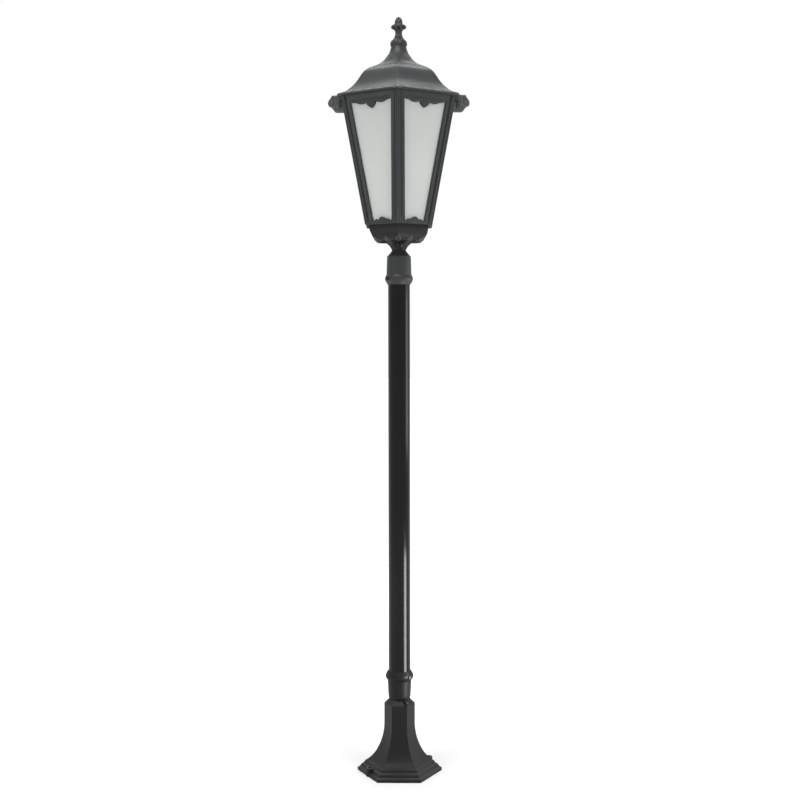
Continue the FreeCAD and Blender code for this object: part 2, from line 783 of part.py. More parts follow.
def make_pane(number):
    """One frosted pane, a trapezium standing on the floor behind its window."""
    body = doc.addObject("PartDesign::Body", f"pane_{number + 1}")
    body.Label = f"pane_{number + 1}"
    lean = face_lean()
    foot = s.floor_thickness + s.seat_gap
    head = s.frame_height - s.top_rail + 3.0 + s.pane_head_lap
    slope = (head - foot) / math.cos(math.radians(lean))
    low, high = window_edge(foot) + s.pane_lap, window_edge(head) + s.pane_lap
    corners = [(-low, 0), (low, 0), (high, slope), (-high, slope)]
    extrude(body, "glass", "XZ_Plane", corners, 0, s.pane_thickness)
    turn = Rotation(Vector(0, 0, 1), number * 360.0 / SIDES - 90.0)
    out = frame_corner(foot) * COS30 - s.frame_wall - s.seat_gap
    place = turn.multVec(Vector(0, float(out), 0)) + Vector(0, 0, float(frame_base + foot))
    body.Placement = Placement(place, turn.multiply(Rotation(Vector(1, 0, 0), -lean)))
    return body


def clip_corner(height):
    """Corner radius of the clips' outer faces, just inside the panes."""
    return frame_corner(height) - (s.frame_wall + s.pane_thickness + s.seat_gap * 2 + 0.2) / COS30


def make_pane_clips():
    """Twelve bent clips in the corners, each holding the edges of two panes."""
    body = new_body("pane_clips", frame_base, LANTERN_TURN)
    parts = []
    for name, low in (("low", s.clip_low), ("high", s.clip_high)):
        foot, head = [chevron(body, f"clip_{name}_{end}", height, clip_corner(height), s.clip_wing,
                              s.clip_thickness / COS30)
                      for end, height in (("foot", low), ("head", low + s.clip_height))]
        clip = loft(body, f"clip_{name}", foot, head)
        middle = low + s.clip_height / 2
        hole = rod(body, f"clip_{name}_hole", "YZ_Plane", (0, middle), clip_corner(middle) - 10.0, 14.0,
                   s.screw + s.fit * 2, cut=True)
        parts += [clip, hole]
    around(body, "clips", parts, SIDES)
    return body


def make_clip_screws():
    """Twelve screws that draw the clips out against the posts."""
    body = new_body("clip_screws", frame_base, LANTERN_TURN)
    parts = []
    for name, low in (("low", s.clip_low), ("high", s.clip_high)):
        middle = low + s.clip_height / 2
        seat = clip_corner(middle) - s.clip_thickness / COS30 - s.screw_head / 2 * TAN30 - 1.0
        tip = frame_corner(middle) - s.frame_wall / COS30 + 4.0
        head = s.screw_head_height
        shank = s.screw - s.fit * 2
        parts.append(rod(body, f"shank_{name}", "YZ_Plane", (0, middle), seat, tip - seat, shank))
        parts.append(rod(body, f"head_{name}", "YZ_Plane", (0, middle), seat - head, head, s.screw_head))
    around(body, "screws", parts, SIDES)
    return body


def add_rim_leaves(body):
    """A chain of low leaves against each side of the rim, and one leaf folded round each corner."""
    face = s.roof_corner * COS30 - s.leaf_depth
    half = s.leaf_pitch / 2
    leaves = 9
    marks = []
    for number in range(leaves):
        middle = s.leaf_pitch * (number - (leaves - 1) / 2)
        marks += [(middle - half, s.leaf_valley), Via(middle, s.leaf_height)]
    last = s.leaf_pitch * leaves / 2
    marks += [(last, s.leaf_valley), (last, s.seat_gap), (-last, s.seat_gap)]
    chain = extrude(body, "leaf_chain", "XZ_Plane", marks, face, s.leaf_depth + s.leaf_proud)
    around(body, "leaf_chains", [chain], SIDES)
    corner, tip = s.roof_corner + s.leaf_proud * 1.5, s.leaf_height + 2.0
    foot = chevron(body, "corner_leaf_foot", s.seat_gap, corner, s.corner_leaf, s.leaf_depth)
    head = chevron(body, "corner_leaf_head", tip, corner - s.leaf_proud, s.corner_leaf * 0.3, s.leaf_depth)
    leaf = loft(body, "corner_leaf", foot, head)
    around(body, "corner_leaves", [leaf], SIDES)


def make_roof():
    """The cast roof: a hexagonal ogee shell with a thick rim and a round neck."""
    body = new_body("roof_casting", roof_base, LANTERN_TURN)
    rim, shell, top = s.roof_rim, s.roof_shell, s.roof_height
    shoulder = (s.shoulder_corner, s.shoulder_height)
    neck = (s.neck_corner, s.neck_height)
    edge = (s.roof_corner, rim)
    hip = (between(s.roof_corner, s.shoulder_corner, 0.62), between(rim, s.shoulder_height, 0.555))
    cove = Via(between(s.roof_corner, s.shoulder_corner, 0.27), between(rim, s.shoulder_height, 0.155))
    crown = Via(between(hip[0], shoulder[0], 0.40), between(hip[1], shoulder[1], 0.57))
    sweep = Via(between(shoulder[0], neck[0], 0.56), between(shoulder[1], neck[1], 0.40))
    seat = s.roof_corner - s.roof_seat
    outside = [(s.roof_corner, 0), edge, cove, hip, crown, shoulder, sweep, neck]

    def lowered(point, across):
        return point[0] - shell * across, point[1] - shell

    inside = [(neck[0] - 12.0, neck[1]), (neck[0] - 12.0, neck[1] - shell)]
    inside += [Via(sweep.x - shell * 0.4, sweep.y - shell), lowered(shoulder, 0.3)]
    inside += [Via(crown.x - shell * 0.5, crown.y - shell * 0.7), lowered(hip, 0.4)]
    inside += [Via(cove.x - shell * 0.4, cove.y - shell * 0.9), (seat, rim + 1.0), (seat, 0)]
    sweep_hexagon(body, "roof_shell", outside + inside)
    add_rim_leaves(body)
    bore, tip = s.stud / 2 + s.fit, s.roof_top / 2
    marks = [(bore, top - s.neck_plate), (bore, top), (tip, top), (tip + 0.8, top - 5.0)]
    marks += [Via(between(tip, neck[0], 0.36), between(top, neck[1], 0.61)), (neck[0] - 4.5, neck[1] + 1.0)]
    marks += [(neck[0] - 7.0, neck[1] - 3.0), (neck[0] - 16.0, neck[1] - 3.0)]
    marks += [Via(tip + 1.0, between(neck[1], top, 0.45)), (tip - 5.0, top - s.neck_plate)]
    revolve(body, "roof_neck", marks)
    return body


def make_bridge_bar():
    """The flat bar across the frame's ledge that carries the stud."""
    ledge = s.frame_height - s.ledge_drop
    body = new_body("bridge_bar", frame_base + ledge, BRIDGE_TURN)
    length = frame_corner(ledge) * COS30 - s.frame_wall - s.bar_gap
    half = s.bar_width / 2
    extrude(body, "bar", "XY_Plane", [(-length, -half), (length, -half), (length, half), (-length, half)],
            0, s.bar_thickness)
    rod(body, "stud_hole", "XY_Plane", (0, 0), -1.0, s.bar_thickness + 2.0, s.stud + s.fit * 2, cut=True)
    screw_at = (ledge_screw_radius(), 0)
    hole = rod(body, "screw_hole", "XY_Plane", screw_at, -1.0, s.bar_thickness + 2.0, s.screw, cut=True)
    around(body, "screw_holes", [hole], 2)
    return body


def make_bridge_screws():
    """Two screws that hold the bridge bar to the frame's ledge."""
    return screws_up("bridge_screws", frame_base + s.frame_height - s.ledge_drop, BRIDGE_TURN,
                     (ledge_screw_radius(), 0), -s.ledge_thickness, s.ledge_thickness + s.bar_thickness, 2)


def make_roof_stud():
    """The threaded rod from the bridge bar up into the finial."""
    body = new_body("roof_stud", frame_base + s.frame_height - s.ledge_drop)
    foot = -s.stud_nut_height - 4.0
    head = s.ledge_drop + s.roof_height + s.stud_grip
    rod(body, "thread", "XY_Plane", (0, 0), foot, head - foot, s.stud)
    return body


def make_stud_nuts():
    """Two nuts that clamp the stud to the bridge bar."""
    return make_nuts("stud_nuts", frame_base + s.frame_height - s.ledge_drop, s.stud_nut_flats,
                     s.stud_nut_height, s.stud, [-s.stud_nut_height, s.bar_thickness])


def make_finial():
    """The cast finial: a moulded foot, a waisted stem, four petals and a bud."""
    body = new_body("finial", finial_base)
    ring, stem, petals, bud = s.finial_ring / 2, s.finial_stem / 2, s.finial_petals / 2, s.finial_bud / 2
    top = s.finial_height
    marks = [(0, top), (0, 28.0), (s.stud / 2 + s.fit, 26.0), (s.stud / 2 + s.fit, 0), (ring - 2.0, 0)]
    marks += [(ring, 6.5), Via(ring - 1.6, 13.0), (ring - 7.0, 18.5), Via(stem + 2.6, 26.0), (stem, 35.0)]
    marks += [Via(stem + 1.6, 42.5), (stem + 4.8, 46.8), (petals - 1.4, 51.5), Via(petals, 55.0)]
    marks += [(petals - 2.2, 58.8), (bud, 62.0), Via(bud * 0.80, 72.0), (2.0, top - 0.6)]
    revolve(body, "turning", marks)

    def flutes(name, radius, foot, length, diameter, count, across=0.0):
        cut = rod(body, name, "XY_Plane", (radius, across), foot, length, diameter, cut=True)
        around(body, name + "s", [cut], count)

    diagonal = petals * 0.86
    flutes("petal_gap", diagonal, s.petal_foot, s.bud_foot - s.petal_foot, s.petal_gap, 4, diagonal)
    flutes("stem_flute", stem + s.stem_flute * 0.36, s.stem_flute_foot, s.petal_foot - s.stem_flute_foot,
           s.stem_flute, 8)
    flutes("ring_flute", ring + s.ring_flute * 0.3, -1.0, s.ring_flute_height + 1.0, s.ring_flute, 10)
    flutes("bud_cut", bud + s.bud_cut * 0.2, s.bud_foot + 1.0, top, s.bud_cut, 8)
    return body


def make_console(label, turn):
    """A cast scroll bracket on a side face, hooked over the roof's rim."""
    body = new_body(label, roof_base, turn)
    face = s.frame_head * COS30
    slope = (s.frame_head - s.frame_foot) * COS30 / s.frame_height
    foot = -s.console_drop
    rim = s.roof_corner * COS30 + s.leaf_proud + s.seat_gap
    reach = rim + s.console_reach
    crest = s.console_rise
    outer = [(rim - 22.0, crest + 0.8), Via(rim + 4.0, crest + 0.6), (reach - 9.7, crest - 1.4)]
    outer += [Via(reach - 9.2, crest - 8.0), (reach - 7.7, crest - 13.4)]
    outer += [Via(reach - 2.0, crest - 19.4), (reach, crest - 26.1), Via(reach - 0.2, crest - 29.4)]
    outer += [(reach - 2.4, crest - 31.6), Via(reach - 8.4, crest - 34.6), (reach - 13.6, crest - 39.7)]
    outer += [Via(reach - 17.2, foot + 3.0), (reach - 23.0, foot), (face + slope * foot, foot)]
    inner = [(face - slope * s.seat_gap, -s.seat_gap), (rim, -s.seat_gap), (rim, s.leaf_height + 0.8)]
    inner += [(rim - 13.6, s.leaf_height + 4.0), (rim - 22.0, crest - 2.3)]
    half = s.console_width / 2
    extrude(body, "scroll", "XZ_Plane", outer + inner, -half, s.console_width)
    height = console_screw_height() - s.frame_height
    for lean in (-1, 1):
        rod(body, f"screw_hole_{lean + 1}", "YZ_Plane", (s.console_width / 4 * lean, height),
            face - s.frame_wall, s.frame_wall + 9.0, s.screw, cut=True)
    eye = (reach - s.volute * 0.9, crest - 25.0)
    width = s.console_width + s.volute_proud * 2
    rod(body, "volute", "XZ_Plane", eye, -width / 2, width, s.volute)
    return body


def make_console_screws():
    """Four screws from inside the top rail into the consoles."""
    body = new_body("console_screws", frame_base)
    height = console_screw_height()
    start = frame_corner(height - s.console_screw_head / 2) * COS30 - s.frame_wall
    parts = []
    for lean in (-1, 1):
        centre = (s.console_width / 4 * lean, height)
        parts.append(rod(body, f"shank_{lean + 1}", "YZ_Plane", centre, start, 14.0, s.screw - s.fit * 2))
        head = s.screw_head_height
        parts.append(rod(body, f"head_{lean + 1}", "YZ_Plane", centre, start - head, head,
                         s.console_screw_head))
    around(body, "screws", parts, 2)
    return body


def make_lamp_strip():
    """The flat strip across the frame's floor that carries the lampholder."""
    body = new_body("lamp_strip", frame_base + s.floor_thickness)
    length, half = s.floor_opening + 13.0, s.strip_width / 2
    extrude(body, "strip", "XY_Plane", [(-length, -half), (length, -half), (length, half), (-length, half)],
            0, s.strip_thickness)
    rod(body, "wire_hole", "XY_Plane", (0, 0), -1.0, s.strip_thickness + 2.0, s.nipple_bore, cut=True)
    hole = rod(body, "screw_hole", "XY_Plane", (strip_screw_radius(), 0), -1.0, s.strip_thickness + 2.0,
               s.screw, cut=True)
    around(body, "screw_holes", [hole], 2)
    return body


def make_strip_screws():
    """Two screws that hold the strip to the frame's floor."""
    return screws_up("strip_screws", frame_base + s.floor_thickness, 0, (strip_screw_radius(), 0),
                     -s.floor_thickness, s.floor_thickness + s.strip_thickness, 2)


def make_lampholder():
    """The ceramic lampholder, a cup with a stepped foot."""
    body = new_body("lampholder", frame_base + s.floor_thickness + s.strip_thickness)
    radius, height, bore = s.holder_diameter / 2, s.holder_height, s.bulb_neck / 2 + 0.5
    marks = [(s.nipple_bore / 2, 0), (radius - 4.0, 0), (radius - 4.0, 8.0), (radius, 14.0)]
    seat = height - s.holder_depth
    marks += [(radius, height - 3.0), (radius - 2.0, height), (bore, height), (bore, seat)]
    marks += [(s.nipple_bore / 2, seat)]
    revolve(body, "cup", marks)
    return body


def make_bulb():
    """The lamp: a screw cap, a tapered body and a round frosted globe."""
    body = new_body("bulb", frame_base + s.floor_thickness + s.strip_thickness + s.holder_height - 26.0)
    cap, globe, length = s.bulb_neck / 2, s.bulb_diameter / 2, s.bulb_length
    middle = length - globe
    below, above = math.radians(-25), math.radians(40)
    marks = [(0, 0), (5.0, 0), (cap, 5.0), (cap, 27.0), (cap + 3.0, 30.0)]
    marks += [(globe * math.cos(below), middle + globe * math.sin(below))]
    marks += [Via(globe * math.cos(above), middle + globe * math.sin(above)), (0, length)]
    revolve(body, "glass", marks)
    return body


def make_terminal_block():
    """The connector block beside the lampholder, with three wire holes."""
    body = new_body("terminal_block", frame_base + s.floor_thickness + s.strip_thickness)
    near, far = s.holder_diameter / 2 + 3.0, s.holder_diameter / 2 + 3.0 + s.terminal_width
    half = s.terminal_length / 2
    extrude(body, "block", "XY_Plane", [(near, -half), (far, -half), (far, half), (near, half)],
            0, s.terminal_height)
    for number in (-1, 0, 1):
        place = (s.terminal_length / 3 * number, s.terminal_height * 0.4)
        rod(body, f"wire_hole_{number + 1}", "YZ_Plane", place, near - 1.0, s.terminal_width + 2.0, 4.0,
            cut=True)
    return body


BODIES = [
    make_foot(),
    make_lower_collar(),
    make_collar_screws("lower_collar_screws", collar_base, LOWER_SCREW_TURN, s.lower_ring_middle),
    make_column_screw(),
    make_pole(),
    make_upper_collar(),
    make_collar_screws("upper_collar_screws", cap_base, UPPER_SCREW_TURN, s.upper_ring_middle),
    make_nipple(),
    make_nipple_nuts(),
    make_bowl(),
    make_frame(),
    make_frame_screws(),
    *[make_pane(number) for number in range(SIDES)],
    make_pane_clips(),
    make_clip_screws(),
    make_roof(),
    make_bridge_bar(),
    make_bridge_screws(),
    make_roof_stud(),
    make_stud_nuts(),
    make_finial(),
    make_console("side_console_right", 0),
    make_console("side_console_left", 180),
    make_console_screws(),
    make_lamp_strip(),
    make_strip_screws(),
    make_lampholder(),
    make_bulb(),
    make_terminal_block(),
]

doc.recompute()
faults = []
for item in doc.Objects:
    if "Invalid" in item.State or "Error" in item.State:
        faults.append(f"{item.Label}: {item.State}")
for piece in BODIES:
    if piece.Shape.isNull() or not piece.Shape.isValid():
        faults.append(f"{piece.Label}: its shape is null or not valid")
if faults:
    raise RuntimeError("; ".join(faults))

os.makedirs("parts", exist_ok=True)
for piece in BODIES:
    piece.Shape.exportStep(f"parts/{piece.Label}.step")
    box = piece.Shape.BoundBox
    print(piece.Label, len(piece.Shape.Solids), "solids", round(piece.Shape.Volume), "mm3",
          [round(v, 1) for v in (box.XMin, box.YMin, box.ZMin, box.XMax, box.YMax, box.ZMax)])
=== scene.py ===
import json
import math

import bmesh
import bpy
from mathutils import Matrix, Vector


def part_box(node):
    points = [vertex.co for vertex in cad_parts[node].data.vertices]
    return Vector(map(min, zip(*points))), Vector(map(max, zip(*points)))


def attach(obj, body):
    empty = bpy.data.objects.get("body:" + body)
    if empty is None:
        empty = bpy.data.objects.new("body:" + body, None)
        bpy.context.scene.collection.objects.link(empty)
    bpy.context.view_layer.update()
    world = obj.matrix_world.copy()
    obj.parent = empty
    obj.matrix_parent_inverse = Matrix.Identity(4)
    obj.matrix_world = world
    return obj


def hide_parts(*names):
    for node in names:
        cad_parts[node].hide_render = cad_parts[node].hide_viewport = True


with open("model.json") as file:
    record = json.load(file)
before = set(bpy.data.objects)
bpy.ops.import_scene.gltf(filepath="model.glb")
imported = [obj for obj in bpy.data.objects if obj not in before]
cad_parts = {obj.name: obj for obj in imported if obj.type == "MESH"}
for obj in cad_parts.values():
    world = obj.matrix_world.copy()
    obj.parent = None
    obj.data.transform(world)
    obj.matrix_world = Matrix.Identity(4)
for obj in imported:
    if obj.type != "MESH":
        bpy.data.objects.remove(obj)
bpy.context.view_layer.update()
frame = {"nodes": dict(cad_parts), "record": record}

MM = 0.001
WELD = 0.006 * MM
SIDES = 6
COS30 = math.cos(math.radians(30))
nodes = frame["nodes"]

# Heights in millimetres where the pieces stand, as in the part
COLLAR_BASE, CAP_BASE, BOWL_BASE = 201.5, 1349.5, 1443.7
COLLAR_HEIGHT, SOCKET_DEPTH = 78.5, 34.0
FRAME_BASE, FRAME_HEIGHT, FRAME_FOOT, FRAME_HEAD = 1509.7, 341.3, 101.4, 174.0
ROOF_BASE, ROOF_CORNER = 1851.0, 184.0
FINIAL_BASE = 2004.5

# The roof's outside: height above its base, and reach of the hexagon's corner
ROOF_LINE = [(0.7, 187.2), (2.8, 188.6), (5.2, 187.4), (7.4, 183.0), (9.4, 176.6), (14.9, 163.4),
             (24.0, 150.6), (36.6, 136.6), (50.6, 125.2), (64.6, 115.4), (75.4, 106.2), (83.8, 95.0),
             (89.8, 82.4), (94.8, 70.2), (100.8, 59.0), (108.2, 50.0), (117.2, 41.2), (126.0, 33.6),
             (133.4, 28.4), (141.4, 24.9), (149.0, 22.6), (153.2, 22.2)]
# On the roof: the rim's height, where the hips end, and where the hexagon starts to turn round and is round
RIM_HEIGHT, HIP_END, NECK_START, NECK_END = 5, 108, 96, 126
# A hexagon's mean reach as a share of its corner's
MEAN_REACH = 0.955


def linear(level):
    """A display level from 0 to 255 as scene light."""
    share = level / 255
    return share / 12.92 if share <= 0.04045 else ((share + 0.055) / 1.055) ** 2.4


def tint(red, green, blue):
    return (linear(red), linear(green), linear(blue), 1.0)


# Finishes

def finish_group(name, inputs, outputs):
    """An empty node group with named inputs and outputs of the given kinds."""
    group = bpy.data.node_groups.new(name, "ShaderNodeTree")
    for label, kind, value in inputs:
        socket = group.interface.new_socket(name=label, in_out="INPUT", socket_type=kind)
        socket.default_value = value
    for label, kind in outputs:
        group.interface.new_socket(name=label, in_out="OUTPUT", socket_type=kind)
    source = group.nodes.new("NodeGroupInput")
    sink = group.nodes.new("NodeGroupOutput")
    return group, source, sink


def add(tree, kind, **settings):
    node = tree.nodes.new(kind)
    for key, value in settings.items():
        setattr(node, key, value)
    return node


def feed(tree, socket, value):
    """Give a socket a constant, or join it to another node's output."""
    if isinstance(value, (int, float, tuple)):
        socket.default_value = value
    else:
        tree.links.new(value, socket)


def dimmed(colour, share):
    """A colour with its three channels scaled by a share."""
    return tuple(channel * share for channel in colour[:3]) + (1.0,)


def object_place(tree):
    return add(tree, "ShaderNodeTexCoord").outputs["Object"]


def noise(tree, place, scale, detail=3.0, roughness=0.55):
    node = add(tree, "ShaderNodeTexNoise")
    node.inputs["Detail"].default_value = detail
    node.inputs["Roughness"].default_value = roughness
    tree.links.new(place, node.inputs["Vector"])
    feed(tree, node.inputs["Scale"], scale)
    return node.outputs["Fac"]


def spread(tree, value, low, high, start, end):
    """Map a value from one range to another, clamped."""
    node = add(tree, "ShaderNodeMapRange")
    tree.links.new(value, node.inputs["Value"])
    for label, setting in (("From Min", low), ("From Max", high), ("To Min", start), ("To Max", end)):
        feed(tree, node.inputs[label], setting)
    return node.outputs["Result"]


def calculate(tree, operation, first, second):
    node = add(tree, "ShaderNodeMath", operation=operation)
    feed(tree, node.inputs[0], first)
    feed(tree, node.inputs[1], second)
    return node.outputs[0]


def mix_colour(tree, share, first, second):
    node = add(tree, "ShaderNodeMix", data_type="RGBA")
    for socket, value in ((node.inputs[0], share), (node.inputs[6], first), (node.inputs[7], second)):
        feed(tree, socket, value)
    return node.outputs[2]


def seen_rays(tree):
    """One for what the camera sees, straight, mirrored or through glass, and nought for other rays."""
    path = add(tree, "ShaderNodeLightPath")
    seen = calculate(tree, "MAXIMUM", path.outputs["Is Camera Ray"], path.outputs["Is Glossy Ray"])
    return calculate(tree, "MAXIMUM", seen, path.outputs["Is Transmission Ray"])


def make_coating_group():
    """Paint over cast metal: fine grain, soft unevenness, dust and a painted sheen on what faces up, thin
    rubbed edges that also carry a painted highlight on ridges.
    """
    group, source, sink = finish_group(
        "coating",
        [("Paint", "NodeSocketColor", (0.05, 0.05, 0.055, 1)), ("Dust And Sheen", "NodeSocketColor", (0.2, 0.2, 0.19, 1)),
         ("Rubbed Highlight", "NodeSocketColor", (0.12, 0.12, 0.125, 1)), ("Grain Size", "NodeSocketFloat", 900.0),
         ("Patch Size", "NodeSocketFloat", 9.0), ("Dust And Sheen Amount", "NodeSocketFloat", 0.08),
         ("Edge Amount", "NodeSocketFloat", 0.3), ("Gloss Low", "NodeSocketFloat", 0.35),
         ("Gloss High", "NodeSocketFloat", 0.5)],
        [("Colour", "NodeSocketColor"), ("Roughness", "NodeSocketFloat"), ("Height", "NodeSocketFloat")])
    place = object_place(group)
    grain = noise(group, place, source.outputs["Grain Size"], 2.0)
    patch = noise(group, place, source.outputs["Patch Size"], 4.0, 0.6)
    fleck = noise(group, place, 160.0, 5.0, 0.7)
    geometry = add(group, "ShaderNodeNewGeometry")
    facing = add(group, "ShaderNodeSeparateXYZ")
    group.links.new(geometry.outputs["Normal"], facing.inputs[0])
    # Dust and painted sheen: faces that point up turn lighter, partly as settled dust and partly standing in
    # for the gloss of the overhead light.
    upward = spread(group, facing.outputs["Z"], 0.82, 0.98, 0.0, 1.0)
    dust_and_sheen_mask = calculate(group, "MULTIPLY", upward, spread(group, fleck, 0.35, 0.75, 0.6, 1.0))
    dust_and_sheen_share = calculate(group, "MULTIPLY", dust_and_sheen_mask, source.outputs["Dust And Sheen Amount"])
    # Rubbed edges: ridges lighten, partly as worn paint and partly as a painted highlight where ridges would
    # catch the light.
    edge = spread(group, geometry.outputs["Pointiness"], 0.52, 0.60, 0.0, 1.0)
    edge = calculate(group, "MULTIPLY", edge, spread(group, fleck, 0.35, 0.6, 0.2, 1.0))
    edge = calculate(group, "MULTIPLY", edge, source.outputs["Edge Amount"])
    shade = spread(group, patch, 0.3, 0.7, 0.0, 0.35)
    lighter = add(group, "ShaderNodeHueSaturation")
    lighter.inputs["Value"].default_value = 1.35
    group.links.new(source.outputs["Paint"], lighter.inputs["Color"])
    toned = mix_colour(group, shade, source.outputs["Paint"], lighter.outputs["Color"])
    toned = mix_colour(group, edge, toned, source.outputs["Rubbed Highlight"])
    group.links.new(mix_colour(group, dust_and_sheen_share, toned, source.outputs["Dust And Sheen"]), sink.inputs["Colour"])
    gloss = spread(group, patch, 0.3, 0.7, source.outputs["Gloss Low"], source.outputs["Gloss High"])
    dulled = calculate(group, "MULTIPLY", dust_and_sheen_share, 0.4)
    group.links.new(calculate(group, "ADD", gloss, dulled), sink.inputs["Roughness"])
    soft = noise(group, place, 140.0, 2.0)
    height = calculate(group, "ADD", grain, calculate(group, "MULTIPLY", soft, 2.2))
    group.links.new(height, sink.inputs["Height"])
    return group


coating = make_coating_group()


def new_material(name):
    material = bpy.data.materials.new(name)
    material.use_nodes = True
    tree = material.node_tree
    return material, tree, tree.nodes["Principled BSDF"]


def bump(tree, shader, height, strength, distance):
    node = add(tree, "ShaderNodeBump")
    node.inputs["Strength"].default_value = strength
    node.inputs["Distance"].default_value = distance
    tree.links.new(height, node.inputs["Height"])
    tree.links.new(node.outputs["Normal"], shader.inputs["Normal"])


def painted(name, paint, gloss, dust_and_sheen, edge, specular, grain=900.0, relief=0.3, rubbed_highlight_gain=2.4):
    """Coated metal that is duller where the view skims it."""
    material, tree, shader = new_material(name)
    finish = add(tree, "ShaderNodeGroup", node_tree=coating)
    # The rubbed edge colour: the paint lightened, both wear and painted highlight.
    rubbed_highlight = tuple(channel * rubbed_highlight_gain + 0.01 for channel in paint[:3]) + (1.0,)
    for label, value in (("Paint", paint), ("Rubbed Highlight", rubbed_highlight), ("Grain Size", grain), ("Dust And Sheen Amount", dust_and_sheen),
                         ("Edge Amount", edge), ("Gloss Low", gloss[0]), ("Gloss High", gloss[1])):
        finish.inputs[label].default_value = value
    tree.links.new(finish.outputs["Colour"], shader.inputs["Base Color"])
    skimmed = spread(tree, add(tree, "ShaderNodeLayerWeight").outputs["Facing"], 0.5, 0.97, 0.0, 0.55)
    tree.links.new(calculate(tree, "ADD", finish.outputs["Roughness"], skimmed), shader.inputs["Roughness"])
    shader.inputs["Specular IOR Level"].default_value = specular
    bump(tree, shader, finish.outputs["Height"], relief, 0.00012)
    return material


def metal(name, colour, roughness):
    """Bare metal with fine turning marks."""
    material, tree, shader = new_material(name)
    place = object_place(tree)
    streak = noise(tree, place, 700.0, 4.0)
    blot = noise(tree, place, 60.0, 3.0)
    toned = mix_colour(tree, spread(tree, blot, 0.35, 0.7, 0.0, 0.6), colour, dimmed(colour, 0.6))
    tree.links.new(toned, shader.inputs["Base Color"])
    tree.links.new(spread(tree, streak, 0.3, 0.7, roughness, roughness + 0.18), shader.inputs["Roughness"])
    shader.inputs["Metallic"].default_value = 1.0
    bump(tree, shader, streak, 0.3, 0.00004)
    return material


def frosted_glass():
    """Etched white glass: fine tooth, faint clouding, and painted shade that makes it a little darker near the
    roof.
    """
    material, tree, shader = new_material("frosted_glass")
    place = object_place(tree)
    cloud = noise(tree, place, 5.0, 3.0)
    tooth = noise(tree, place, 1500.0, 2.0)
    height = add(tree, "ShaderNodeSeparateXYZ")
    tree.links.new(place, height.inputs[0])
    # Painted shade: the glass turns darker towards its top, under the roof.
    shade_start, shade_full = 1.66, 1.85
    shaded = spread(tree, height.outputs["Z"], shade_start, shade_full, 0.0, 1.0)
    white = mix_colour(tree, cloud, tint(211, 216, 212), tint(217, 220, 217))
    tree.links.new(mix_colour(tree, shaded, white, tint(201, 206, 203)), shader.inputs["Base Color"])
    tree.links.new(spread(tree, tooth, 0.3, 0.7, 0.52, 0.66), shader.inputs["Roughness"])
    shader.inputs["Transmission Weight"].default_value = 0.22
    shader.inputs["IOR"].default_value = 1.5
    bump(tree, shader, tooth, 0.2, 0.00004)
    return material


def glazed(name, colour, roughness):
    """Smooth glaze, glass or plastic with faint clouding."""
    material, tree, shader = new_material(name)
    place = object_place(tree)
    cloud = noise(tree, place, 40.0, 3.0)
    tree.links.new(mix_colour(tree, cloud, colour, dimmed(colour, 0.88)), shader.inputs["Base Color"])
    tree.links.new(spread(tree, cloud, 0.3, 0.7, roughness, roughness + 0.1), shader.inputs["Roughness"])
    bump(tree, shader, noise(tree, place, 500.0), 0.15, 0.00003)
    return material


materials = {
    # Each paint's dust_and_sheen share lightens its upward faces: settled dust and painted sheen.
    "lantern_paint": painted("lantern_paint", tint(38, 40, 41), (0.36, 0.48), dust_and_sheen=0.14, edge=0.45,
                             specular=0.31),
    # A lighter copy of the lantern paint for the cast ornaments: a painted highlight on the rim leaves and side
    # scrolls.
    "ornament_highlight_paint": painted("ornament_highlight_paint", tint(70, 72, 72), (0.34, 0.46), dust_and_sheen=0.24, edge=0.6,
                             specular=0.36, rubbed_highlight_gain=3.4),
    "post_paint": painted("post_paint", tint(18, 19, 20), (0.34, 0.46), dust_and_sheen=0.28, edge=0.3,
                          specular=0.18),
    "pole_paint": painted("pole_paint", tint(9, 9, 10), (0.15, 0.20), dust_and_sheen=0.0, edge=0.0,
                          specular=0.16, grain=300.0, relief=0.08),
    "zinc_steel": metal("zinc_steel", tint(170, 170, 168), 0.3),
    "bright_screw": metal("bright_screw", tint(96, 96, 98), 0.55),
    "brass": metal("brass", tint(205, 175, 110), 0.28),
    "frosted_glass": frosted_glass(),
    "porcelain": glazed("porcelain", tint(228, 226, 218), 0.15),
    "lamp_glass": glazed("lamp_glass", tint(236, 236, 232), 0.3),
    "terminal_plastic": glazed("terminal_plastic", tint(222, 220, 210), 0.4),
}
slot_of = {part["node"]: part["material_slot"] for part in frame["record"]["subparts"]}
for name, node in nodes.items():
    node.data.materials.clear()
    node.data.materials.append(materials[slot_of[name]])


# Shared making steps

def toward(angle):
    """The level direction at an angle about the lantern's axis."""
    return Vector((math.cos(angle), math.sin(angle), 0))


def beside(angle):
    """The level direction square to that one."""
    return Vector((-math.sin(angle), math.cos(angle), 0))


def lifted(height):
    return Vector((0, 0, height))


def finished(name, bm, slot, *replaced, finish=None):
    """Turn a bmesh into a piece that rides with the lantern, in its slot's finish or in another."""
    mesh = bpy.data.meshes.new(name)
    bm.to_mesh(mesh)
    bm.free()
    mesh.materials.append(materials[finish or slot])
    for face in mesh.polygons:
        face.use_smooth = True
    piece = bpy.data.objects.new(name, mesh)
    bpy.context.collection.objects.link(piece)
    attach(piece, "root")
    if replaced:
        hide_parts(*replaced)
    return piece


def even_shading(piece):
    """Let the large faces keep their own direction, so only the rounded edges catch the light."""
    weighted = piece.modifiers.new("even shading", "WEIGHTED_NORMAL")
    weighted.keep_sharp = True
    weighted.weight = 60


def round_edges(bm, edges, width):
    """Round edges by a width in millimetres."""
    bmesh.ops.bevel(bm, geom=edges, offset=width * MM, offset_type="OFFSET", affect="EDGES", segments=2,
                    profile=0.5, material=-1, clamp_overlap=True)


